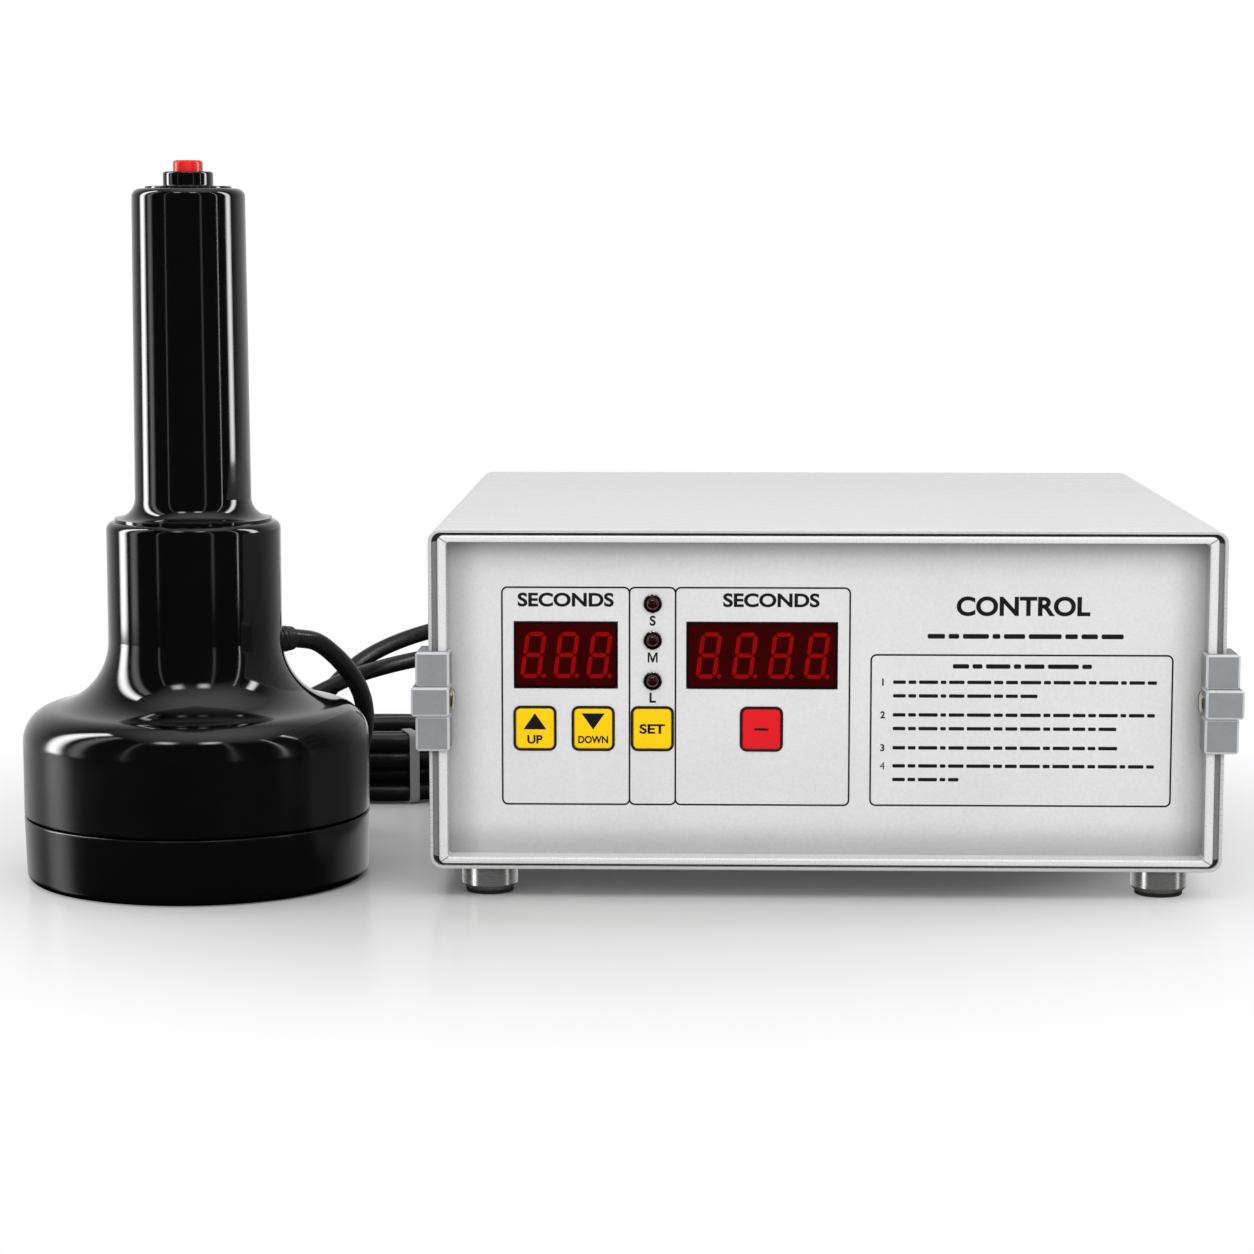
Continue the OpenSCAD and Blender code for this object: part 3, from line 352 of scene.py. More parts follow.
# glow is painted light: the unlit segments give off a faint red light
SEGMENT_RED = Finish(
    "unlit_segment", "display_black", (0.26, 0.0004, 0.0004), (0.19, 0.0003, 0.0003), 0.3,
    grain_mm=0.5, relief_mm=0.002, patch_mm=5.0, ior=1.15, glow=0.1,
)
LAMP_CHROME = Finish(
    "lamp_chrome", "lamp_chrome", (0.78, 0.78, 0.79), (0.68, 0.68, 0.69), 0.22,
    metallic=0.25, spread=0.03, grain_mm=0.5, relief_mm=0.002, patch_mm=4.0,
)
LAMP_MAROON = Finish(
    "lamp_dome", "lamp_maroon", (0.030, 0.0012, 0.0012), (0.012, 0.0008, 0.0008), 0.07,
    spread=0.02, grain_mm=3.0, relief_mm=0.002, patch_mm=2.5, coat=0.8,
)
KEY_YELLOW = Finish(
    "yellow_key", "key_yellow", (0.94, 0.61, 0.0), (0.86, 0.53, 0.0), 0.42,
    grain_mm=0.4, relief_mm=0.006, patch_mm=7.0, ior=1.3,
)
KEY_RED = Finish(
    "red_key", "key_red", (0.74, 0.008, 0.016), (0.66, 0.006, 0.011), 0.36,
    grain_mm=0.4, relief_mm=0.006, patch_mm=7.0, ior=1.3,
)
RIM_BLACK = Finish(
    "key_rim", "rim_black", (0.008, 0.008, 0.008), (0.014, 0.014, 0.014), 0.42,
    grain_mm=0.4, relief_mm=0.005, patch_mm=5.0,
)
INK_BLACK = Finish(
    "printed_ink", "rim_black", (0.006, 0.006, 0.006), (0.011, 0.011, 0.011), 0.5,
    grain_mm=0.3, relief_mm=0.003, patch_mm=6.0,
)
INK_WHITE = Finish(
    "white_ink", "tie_grey", (0.80, 0.80, 0.79), (0.72, 0.72, 0.71), 0.5,
    grain_mm=0.3, relief_mm=0.003, patch_mm=3.0,
)
SWITCH_BLACK = Finish(
    "switch_moulding", "switch_black", (0.010, 0.010, 0.010), (0.018, 0.018, 0.018), 0.4,
    grain_mm=0.5, relief_mm=0.01, patch_mm=8.0,
)
DISPLAY_BLACK = Finish(
    "display_block", "display_black", (0.015, 0.014, 0.014), (0.025, 0.023, 0.023), 0.5,
    grain_mm=0.6, relief_mm=0.006, patch_mm=10.0,
)
BOARD_GREEN = Finish(
    "circuit_board", "board_green", (0.012, 0.11, 0.035), (0.02, 0.16, 0.05), 0.35,
    grain_mm=0.8, relief_mm=0.01, patch_mm=4.0, coat=0.3,
)
POST_BRASS = Finish(
    "turned_brass", "post_brass", (0.72, 0.47, 0.16), (0.62, 0.38, 0.12), 0.28,
    metallic=1.0, grain=Grain.ROUND_Z, grain_mm=0.3, relief_mm=0.004, patch_mm=4.0,
)
SINK_METAL = Finish(
    "anodised_sink", "sink_metal", (0.42, 0.42, 0.43), (0.34, 0.34, 0.35), 0.4,
    metallic=1.0, grain=Grain.ALONG_Z, grain_mm=0.4, relief_mm=0.006, patch_mm=15.0,
)
CORE_IRON = Finish(
    "laminated_core", "core_iron", (0.22, 0.17, 0.12), (0.3, 0.21, 0.11), 0.5,
    metallic=0.5, grain=Grain.ALONG_X, grain_mm=0.5, relief_mm=0.02, patch_mm=8.0,
)
ROCKER_RED = Finish(
    "red_rocker", "rocker_red", (0.62, 0.010, 0.012), (0.54, 0.008, 0.009), 0.24,
    grain_mm=1.0, relief_mm=0.004, patch_mm=6.0, coat=0.3,
)
RELIEF_BLACK = Finish(
    "relief_rubber", "relief_black", (0.010, 0.010, 0.0105), (0.016, 0.016, 0.0165), 0.42,
    grain_mm=0.4, relief_mm=0.008, patch_mm=6.0,
)
CABLE_BLACK = Finish(
    "cable_jacket", "cable_black", (0.006, 0.006, 0.0063), (0.011, 0.011, 0.0115), 0.32,
    grain_mm=1.6, relief_mm=0.012, patch_mm=22.0,
)
PIN_BRASS = Finish(
    "plug_pin", "pin_brass", (0.70, 0.64, 0.50), (0.6, 0.53, 0.38), 0.22,
    metallic=1.0, grain=Grain.ALONG_X, grain_mm=0.3, relief_mm=0.003, patch_mm=5.0,
)
TIE_GREY = Finish(
    "tie_nylon", "tie_grey", (0.34, 0.34, 0.35), (0.27, 0.27, 0.28), 0.4,
    grain_mm=0.6, relief_mm=0.006, patch_mm=6.0,
)
CARRIER_TAN = Finish(
    "coil_carrier", "carrier_tan", (0.50, 0.38, 0.22), (0.43, 0.31, 0.17), 0.55,
    grain_mm=0.8, relief_mm=0.02, patch_mm=9.0,
)
COIL_COPPER = Finish(
    "coil_wire", "coil_copper", (0.72, 0.29, 0.11), (0.6, 0.22, 0.08), 0.3,
    metallic=1.0, grain_mm=0.4, relief_mm=0.01, patch_mm=5.0,
)
FERRITE_GREY = Finish(
    "ferrite", "ferrite_grey", (0.055, 0.055, 0.06), (0.08, 0.08, 0.085), 0.6,
    grain_mm=0.5, relief_mm=0.02, patch_mm=6.0,
)


@dataclass
class Shell:
    """Surfaces of one piece, gathered in millimetres before they become a mesh."""

    points: list[Array] = field(default_factory=list)
    faces: list[list[int]] = field(default_factory=list)
    marks: list[float] = field(default_factory=list)
    count: int = 0

    def grid(self, points: Array, wrap_rows: bool = False, marks: Array | None = None) -> "Shell":
        """Adds a surface given as rows of points, each of which closes on itself.

        Args:
            points: array of rows, columns and XYZ.
            wrap_rows: whether the last row joins the first.
            marks: edge mark of each face, or None for no mark.

        Returns:
            This shell.
        """
        rows, columns = points.shape[:2]
        index = np.arange(rows * columns).reshape(rows, columns) + self.count
        index = np.hstack([index, index[:, :1]])
        if wrap_rows:
            index = np.vstack([index, index[:1]])
        quads = [index[:-1, :-1], index[1:, :-1], index[1:, 1:], index[:-1, 1:]]
        return self._add(points, np.stack(quads, axis=-1).reshape(-1, 4), marks)

    def polygons(self, points: Array) -> "Shell":
        """Adds flat polygons.

        Args:
            points: array of polygons, corners and XYZ.

        Returns:
            This shell.
        """
        shapes, corners = points.shape[:2]
        index = np.arange(shapes * corners).reshape(shapes, corners) + self.count
        return self._add(points, index, None)

    def prism(self, rows: Array, marks: Array | None = None) -> "Shell":
        """Adds a surface of rows, with flat polygons on the first and the last."""
        return self.grid(rows, marks=marks).polygons(rows[[0, -1]])

    def _add(self, points: Array, faces: Array, marks: Array | None) -> "Shell":
        """Appends points, the faces between them and the faces' edge marks.

        Args:
            points: array whose last axis is XYZ.
            faces: point numbers of each face.
            marks: edge mark of each face, or None for no mark.

        Returns:
            This shell.
        """
        self.points.append(points.reshape(-1, 3))
        self.faces.extend(faces.tolist())
        self.marks.extend(np.zeros(len(faces)) if marks is None else marks.reshape(-1))
        self.count += len(self.points[-1])
        return self

    def piece(
        self, name: str, finish: Finish, *stood_for: str,
        body: Body = Body.UNIT, closed: bool = True, sharp: float = 35.0,
    ) -> bpy.types.Object:
        """Makes the mesh object, gives it its finish and lets it ride on its body.

        Args:
            name: name of the piece.
            finish: surface finish.
            stood_for: nodes of the frame that it replaces.
            body: body of the frame that it moves with.
            closed: whether the surfaces close, so that they can be merged and turned outwards.
            sharp: angle in degrees above which an edge stays sharp.

        Returns:
            The new object.
        """
        mesh = bpy.data.meshes.new(name)
        mesh.from_pydata((np.vstack(self.points) * MM).tolist(), [], self.faces)
        mesh.attributes.new("edge", "FLOAT", "FACE").data.foreach_set("value", self.marks)
        if closed:
            work = bmesh.new()
            work.from_mesh(mesh)
            bmesh.ops.remove_doubles(work, verts=work.verts, dist=MERGE_DISTANCE)
            bmesh.ops.recalc_face_normals(work, faces=work.faces)
            work.to_mesh(mesh)
            work.free()
        mesh.shade_smooth()
        mesh.set_sharp_from_angle(angle=math.radians(sharp))
        return settle(bpy.data.objects.new(name, mesh), finish, body, *stood_for)


def settle(item: bpy.types.Object, finish: Finish, body: Body, *stood_for: str) -> bpy.types.Object:
    """Links a finished object, dresses it, lets it ride on its body and hides the nodes that it
    stands for.

    Args:
        item: object with its place in its mesh.
        finish: surface finish.
        body: body of the frame that it moves with.
        stood_for: nodes of the frame that it replaces.

    Returns:
        The same object.
    """
    bpy.context.scene.collection.objects.link(item)
    item.data.materials.append(finish.material())
    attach(item, body.value)
    if stood_for:
        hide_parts(*stood_for)
    log.info("%s: %d faces on %s", item.name, len(item.data.polygons), body.value)
    return item


def dress(finish: Finish, *nodes: str) -> None:
    """Gives a finish to nodes of the frame that keep their own shape.

    Args:
        finish: surface finish.
        nodes: names of the nodes.
    """
    for name in nodes:
        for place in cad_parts[name].material_slots:
            place.material = finish.material()
        log.info("%s: dressed as %s", name, finish.name)


def node_box(node: str) -> Array:
    """Lowest and highest corner of a node, in millimetres."""
    return np.array(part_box(node)) / MM


def middle(node: str) -> Array:
    """Middle of a node's box, in millimetres."""
    low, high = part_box(node)
    return np.array((low + high) / 2) / MM


def arc(centre: Sequence[float], radius: float, start: float, end: float, steps: int = 10) -> Array:
    """Points of an arc: the centre plus the radius times the cosine and sine of each angle.

    Args:
        centre: centre of the arc.
        radius: its radius.
        start: first angle in degrees.
        end: last angle in degrees.
        steps: number of stretches.

    Returns:
        The points, both ends among them.
    """
    angle = np.radians(np.linspace(start, end, steps + 1))
    return np.asarray(centre, float) + radius * np.column_stack([np.cos(angle), np.sin(angle)])


class Pen:
    """Draws a profile stretch by stretch, each from where the one before ends."""

    def __init__(self, *points: Sequence[float]) -> None:
        """Starts with one or more points."""
        self.parts = [np.array(points, float)]

    def to(self, *points: Sequence[float]) -> "Pen":
        """Goes on through plain points."""
        self.parts.append(np.array(points, float))
        return self

    def line(self, x: float, y: float, guard: float = GUARD) -> "Pen":
        """Draws a straight line, with a guard point near each end to keep its shading flat.

        Args:
            x: first coordinate of its end.
            y: second coordinate of its end.
            guard: distance of the guard points from the ends.

        Returns:
            This pen.
        """
        first = self.parts[-1][-1]
        way = np.array([x, y]) - first
        share = min(guard / max(np.linalg.norm(way), SAME_POINT), GUARD_SHARE)
        return self.to(*(first + np.outer([0.0, share, 1.0 - share, 1.0], way)))

    def turn(self, radius: float, start: float, end: float, steps: int = 10) -> "Pen":
        """Draws an arc whose first angle is at the pen.

        Args:
            radius: its radius.
            start: first angle in degrees.
            end: last angle in degrees.
            steps: number of stretches.

        Returns:
            This pen.
        """
        centre = self.parts[-1][-1] - arc((0, 0), radius, start, start, 1)[0]
        return self.to(*arc(centre, radius, start, end, steps))

    def profile(self) -> Array:
        """Joins the stretches and drops points that repeat.

        Returns:
            The profile's points.
        """
        points = np.vstack(self.parts)
        step = np.linalg.norm(np.diff(points, axis=0), axis=1)
        return points[np.concatenate([[True], step > SAME_POINT])]


def lathe(
    profile: Array, origin: Sequence[float], axis: Sequence[float] = (0, 0, 1), turns: int = 96
) -> Array:
    """A turned surface: each radius and height of the profile goes once round the axis.

    Args:
        profile: rows of radius and height along the axis.
        origin: point of the axis at height zero.
        axis: direction of the axis.
        turns: number of stretches round the axis.

    Returns:
        Array of profile points, angles and XYZ.
    """
    along = np.asarray(axis, float) / np.linalg.norm(axis)
    side = np.cross(along, np.eye(3)[np.argmin(np.abs(along))])
    side /= np.linalg.norm(side)
    angle = circle_angles(turns)[:, None]
    ring = np.cos(angle) * side + np.sin(angle) * np.cross(along, side)
    return np.asarray(origin, float) + profile[:, :1, None] * ring + profile[:, 1:, None] * along


def circle_angles(count: int) -> Array:
    """Even angles once round, in radians."""
    return np.linspace(0, 2 * math.pi, count, endpoint=False)


def rounded_box(half_w: float, half_h: float, radius: float, steps: int = 6) -> Array:
    """Loop of a rectangle with round corners: four arcs, one after another.

    Args:
        half_w: half of its width.
        half_h: half of its height.
        radius: corner radius.
        steps: stretches on each corner.

    Returns:
        The loop's points.
    """
    signs = np.array([(1, 1), (-1, 1), (-1, -1), (1, -1)])
    centres = signs * (half_w - radius, half_h - radius)
    starts = (0, 90, 180, 270)
    return np.vstack([arc(at, radius, turn, turn + 90, steps) for at, turn in zip(centres, starts)])


def upright(flat: Array, at: Sequence[float], y: float) -> Array:
    """Stands flat points up: their two coordinates go along X and Z from a place on the level y."""
    return np.insert(flat + np.asarray(at, float), 1, y, axis=1)


def nested(levels: Sequence[Sequence[float]], centre: Sequence[float], steps: int = 6) -> Array:
    """A surface through rounded rectangles that stand one behind another along Y.

    Args:
        levels: half width, half height, corner radius and Y of each rectangle.
        centre: X and Z of their common middle.
        steps: stretches on each corner.

    Returns:
        Array of rectangles, loop points and XYZ.
    """
    return np.stack([upright(rounded_box(*size, steps), centre, y) for *size, y in levels])


def sweep(path: Array, section: Array, side: Array, up: Array) -> Array:
    """A section carried along a path: each point plus the section in its side and up directions.

    The middles of the first and the last section close the ends.

    Args:
        path: points of the path.
        section: loop of the section, as shares of side and up.
        side: side direction at each path point.
        up: up direction at each path point.

    Returns:
        Array of path points, section points and XYZ.
    """
    spread = section[None, :, :1] * side[:, None] + section[None, :, 1:] * up[:, None]
    return capped(path[:, None] + spread)


def capped(points: Array) -> Array:
    """Closes a surface with the middles of its first and its last row."""
    first, last = (np.broadcast_to(row.mean(0), row.shape)[None] for row in points[[0, -1]])
    return np.concatenate([first, points, last])


def smooth_path(points: Array, spacing: float) -> Array:
    """A smooth curve through given points, in even steps.

    Each stretch is a cubic whose slope at a point is half of the way from the point before to the
    one after. The curve is then measured and cut again at equal lengths.

    Args:
        points: points that the curve goes through.
        spacing: step along the curve.

    Returns:
        The curve's points.
    """
    ends = np.vstack([2 * points[0] - points[1], points, 2 * points[-1] - points[-2]])
    before, here, there, after = (ends[k:len(ends) - 3 + k, None] for k in range(4))
    t = np.linspace(0, 1, CURVE_STEPS, endpoint=False)[None, :, None]
    slope_here, slope_there = (there - before) / 2, (after - here) / 2
    curve = (
        (2 * t**3 - 3 * t**2 + 1) * here
        + (t**3 - 2 * t**2 + t) * slope_here
        + (3 * t**2 - 2 * t**3) * there
        + (t**3 - t**2) * slope_there
    ).reshape(-1, 3)
    curve = np.vstack([curve, points[-1]])
    run = np.concatenate([[0.0], np.cumsum(np.linalg.norm(np.diff(curve, axis=0), axis=1))])
    even = np.linspace(0, run[-1], int(round(run[-1] / spacing)) + 1)
    return np.column_stack([np.interp(even, run, column) for column in curve.T])


def lettering(
    name: str, text: str, centre: Point, height: float, width: float | None, body: Body = Body.UNIT
) -> None:
    """Prints a word on a face that looks to the front.

    Args:
        name: name of the piece.
        text: the word.
        centre: middle of the word.
        height: height of its capitals.
        width: width to stretch it to, or None for its own.
        body: body of the frame that it moves with.
    """
    curve = bpy.data.curves.new(name, "FONT")
    curve.body = text
    curve.extrude = LETTER_DEPTH
    curve.offset = 0.0 if text == THIN_FIGURE else LETTER_WEIGHT
    draft = bpy.data.objects.new(name, curve)
    bpy.context.scene.collection.objects.link(draft)
    bpy.context.view_layer.update()
    graph = bpy.context.evaluated_depsgraph_get()
    mesh = bpy.data.meshes.new_from_object(draft.evaluated_get(graph))
    bpy.data.objects.remove(draft)
    bpy.data.curves.remove(curve)
    corners = np.empty(len(mesh.vertices) * 3)
    mesh.vertices.foreach_get("co", corners)
    corners = corners.reshape(-1, 3)
    low, high = corners.min(0), corners.max(0)
    tall = height / (high[1] - low[1])
    wide = tall if width is None else width / (high[0] - low[0])
    flat = (corners - (low + high) / 2) * [wide, tall, 1.0]
    placed = np.column_stack([flat[:, 0], -flat[:, 2], flat[:, 1]]) + centre
    mesh.vertices.foreach_set("co", (placed * MM).reshape(-1))
    mesh.update()
    settle(bpy.data.objects.new(name, mesh), INK_BLACK, body)


class Recess(Enum):
    """Shape of the recess in a screw's head."""

    SLOT = "slot"
    CROSS = "cross"


@dataclass(frozen=True)
class ScrewHead:
    """A domed screw head as heights on a polar grid.

    The height is the head's own times the root of one less the fourth power of the swollen share of
    the radius. The recess is cut where a point is near its lines and inside its reach.
    """

    radius: float
    height: float
    recess: Recess
    recess_half: float
    recess_reach: float
    recess_depth: float
    shares: tuple[float, float, float]
    rings: int
    sides: int
    swell: float
    sunk: float = 0.0

    def points(self, at: Sequence[float], out: Sequence[float], across: Sequence[float]) -> Array:
        """Puts the head on a face that stands upright.

        Args:
            at: middle of its seat.
            out: direction that it looks to.
            across: level direction in its face.

        Returns:
            Array of rings, angles and XYZ, closed behind.
        """
        dome, *rim = self.shares
        share = np.concatenate([np.linspace(0, dome, self.rings), rim, [1.0, 1.0]])[:, None]
        angle = circle_angles(self.sides)[None]
        wide, tall = self.radius * share * np.cos(angle), self.radius * share * np.sin(angle)
        lines = np.abs(wide)
        if self.recess is Recess.CROSS:
            lines = np.minimum(lines, np.abs(tall))
        cut = (lines < self.recess_half) & (share < self.recess_reach)
        height = self.height * np.sqrt(np.clip(1 - (self.swell * share) ** 4, 0, 1))
        height = height - self.recess_depth * cut
        height[-1] = -self.sunk
        rings = np.stack([height, wide, tall], axis=-1) @ np.array([out, across, (0, 0, 1)], float)
        return capped(rings + np.asarray(at, float))[1:]


@dataclass
class SealingHead:
    """The black sealing head: base cover, bell, grip, collar, trigger button and cable gland."""

    seam_z: float = 24.0
    seam_gap: float = 0.6
    seam_bevel: float = 0.6
    seam_depth: float = 2.4
    bell_r: float = 62.8
    base_r: float = 62.2
    base_field_r: float = 12.0
    edge_round: float = 3.3
    shoulder_z: float = 51.0
    shoulder_r: float = 12.43
    flare_r: float = 24.5
    flare_z: float = 87.5
    blend: float = 81.2
    neck_r: float = 31.5
    neck_top: float = 130.5
    neck_round: float = 3.0
    mouth_r: float = 16.0
    wall: float = 3.0
    throat_z: float = 90.0
    bell_inside: tuple[Pair, ...] = ((34, 72), (46, 62), (57, 56))
    bell_inside_z: float = 50.0
    foot_r: float = 28.5
    foot_t: float = 1.0
    grip_r: float = 21.0
    grip_top_r: float = 20.3
    grip_round: float = 3.0
    grip_top: float = 250.0
    grip_seat_r: float = 14.5
    grip_bore_step: float = 1.0
    plate_r: float = 15.5
    plate_t: float = 0.8
    plate_round: float = 0.3
    plate_seat_r: float = 14.3
    collar_r: float = 9.0
    collar_top: float = 256.0
    collar_bevel: float = 0.9
    collar_fillet: float = 0.4
    button_r: float = 5.3
    button_gap: float = 0.3
    button_top: float = 260.0
    button_round: float = 1.1
    button_field_r: float = 1.0
    flange_r: float = 7.0
    flange_z: float = 245.5
    flange_t: float = 1.2
    stem_r: float = 2.5
    stem_z: float = 242.8
    gland_angle: float = 40.0
    gland_z: float = 84.0
    gland_root: float = 26.0
    gland_reach: float = 42.0
    gland_r: float = 5.0
    gland_barrel: float = 34.6
    gland_grooves: tuple[Pair, ...] = (
        (4.6, 35.0), (4.6, 35.5), (5.0, 35.9), (5.0, 36.6), (4.65, 37.0), (4.65, 37.6), (4.9, 38.0),
    )
    gland_tip: Pair = (4.45, 41.2)
    gland_round: float = 0.5
    gland_end_r: float = 3.4
    turns: int = 160

    def __post_init__(self) -> None:
        """Finds the head's axis in the frame."""
        self.axis = middle("bell_housing") * [1, 1, 0]

    def build(self) -> None:
        """Makes all pieces of the head and dresses what is inside it."""
        rows = (
            ("base_shell", self._base(), False, BASE_SATIN, Body.UNIT, "base_cover"),
            ("bell_shell", self._bell(), True, HEAD_GLOSS, Body.UNIT, "bell_housing"),
            ("grip_tube", self._grip(), True, HEAD_GLOSS, Body.UNIT, "handle_grip"),
            ("button_ring", self._collar(), True, HEAD_GLOSS, Body.UNIT, "button_collar"),
            ("red_button", self._button(), False, BUTTON_RED, Body.TRIGGER, "trigger_button"),
        )
        for name, pen, ring, finish, body, node in rows:
            shell = Shell().grid(lathe(pen.profile(), self.axis, turns=self.turns), wrap_rows=ring)
            shell.piece(name, finish, node, body=body)
        self._gland()
        dress(CARRIER_TAN, "coil_carrier")
        dress(COIL_COPPER, "induction_coil")
        dress(FERRITE_GREY, "ferrite_bars")
        dress(SWITCH_BLACK, "trigger_switch")

    def _base(self) -> Pen:
        """Base cover: flat sealing face, round edge, slight taper, and the lower half of the seam.

        Returns:
            Its profile, from the axis to the axis.
        """
        top, inner = self.seam_z - self.seam_gap / 2, self.bell_r - self.seam_depth
        pen = Pen((0, 0), (self.base_field_r, 0)).line(self.base_r - self.edge_round, 0)
        pen.turn(self.edge_round, -90, 0).line(self.bell_r, top - self.seam_bevel)
        pen.turn(self.seam_bevel, 0, 90, 5).to((inner, top), (inner, self.wall))
        return pen.to((self.base_field_r, self.wall), (0, self.wall))

    def _bell(self) -> Pen:
        """Bell and neck: side, shoulder arc, flare arc, neck and rim outside, a plain wall inside.

        Returns:
            Its profile, as a loop.
        """
        bottom, rim = self.seam_z + self.seam_gap / 2, self.neck_top - self.neck_round
        inner, throat = self.bell_r - self.wall, self.neck_r - self.wall
        flare = (self.neck_r + self.flare_r, self.flare_z)
        pen = Pen((self.bell_r - self.seam_bevel, bottom)).turn(self.seam_bevel, -90, 0, 5)
        pen.line(self.bell_r, self.shoulder_z).turn(self.shoulder_r, 0, self.blend, 20)
        pen.to(*arc(flare, self.flare_r, self.blend + 180, 180, 24))
        pen.line(self.neck_r, rim).turn(self.neck_round, 0, 90)
        pen.to((self.mouth_r, self.neck_top), (self.mouth_r, rim), (throat, rim))
        pen.to((throat, self.throat_z), *self.bell_inside)
        return pen.to((inner, self.bell_inside_z), (inner, bottom))

    def _grip(self) -> Pen:
        """Grip: foot, fillet, slim taper, round top edge, and the bore inside.

        Returns:
            Its profile, as a loop.
        """
        fillet, root = self.foot_r - self.grip_r, self.neck_top + self.foot_t
        top, bore = self.grip_top - self.grip_round, self.grip_top_r - self.wall
        pen = Pen((self.foot_r, self.neck_top)).line(self.foot_r, root, SHORT_GUARD)
        pen.turn(fillet, 270, 180, 16).line(self.grip_top_r, top).turn(self.grip_round, 0, 90)
        pen.to((self.grip_seat_r, self.grip_top), (self.grip_seat_r, top))
        pen.to((bore, top - self.grip_bore_step), (bore, root + fillet))
        return pen.to((self.grip_r - self.wall, self.neck_top))

    def _collar(self) -> Pen:
        """Collar: thin end plate on the grip, and the ring that guides the button.

        Returns:
            Its profile, as a loop.
        """
        bore, plate = self.button_r + self.button_gap, self.grip_top + self.plate_t
        bevel, soft, top = self.collar_bevel, self.collar_fillet, self.collar_top
        under = self.grip_top - self.grip_round
        pen = Pen((self.plate_r, self.grip_top))
        pen.line(self.plate_r, plate - self.plate_round, SHORT_GUARD)
        pen.turn(self.plate_round, 0, 90, 4)
        pen.line(self.collar_r + soft, plate).turn(soft, 270, 180, 4)
        pen.line(self.collar_r, top - bevel).turn(bevel, 0, 90, 6)
        pen.line(bore + soft, top, SHORT_GUARD)
        pen.to((bore, top - soft), (bore, under), (self.plate_seat_r, under))
        return pen.to((self.plate_seat_r, self.grip_top))

    def _button(self) -> Pen:
        """Trigger button: stem, flange under the collar, and the cap with its round edge.

        Returns:
            Its profile, from the axis to the axis.
        """
        flange = self.flange_z + self.flange_t
        pen = Pen((0, self.stem_z), (self.stem_r, self.stem_z), (self.stem_r, self.flange_z))
        pen.to((self.flange_r, self.flange_z), (self.flange_r, flange), (self.button_r, flange))
        pen.line(self.button_r, self.button_top - self.button_round)
        pen.turn(self.button_round, 0, 90, 8).line(self.button_field_r, self.button_top)
        return pen.to((0, self.button_top))

    def _gland(self) -> None:
        """Cable gland: a flanged nose with two grooves that points out of the neck."""
        angle = math.radians(self.gland_angle)
        pen = Pen((0, self.gland_root), (self.gland_r, self.gland_root))
        pen.line(self.gland_r, self.gland_barrel).to(*self.gland_grooves).line(*self.gland_tip)
        pen.turn(self.gland_round, 0, 80, 4)
        pen.to((self.gland_end_r, self.gland_reach), (0, self.gland_reach))
        origin = self.axis + [0, 0, self.gland_z]
        points = lathe(pen.profile(), origin, (math.cos(angle), math.sin(angle), 0), turns=48)
        Shell().grid(points).piece("cable_gland", RELIEF_BLACK, "head_gland")


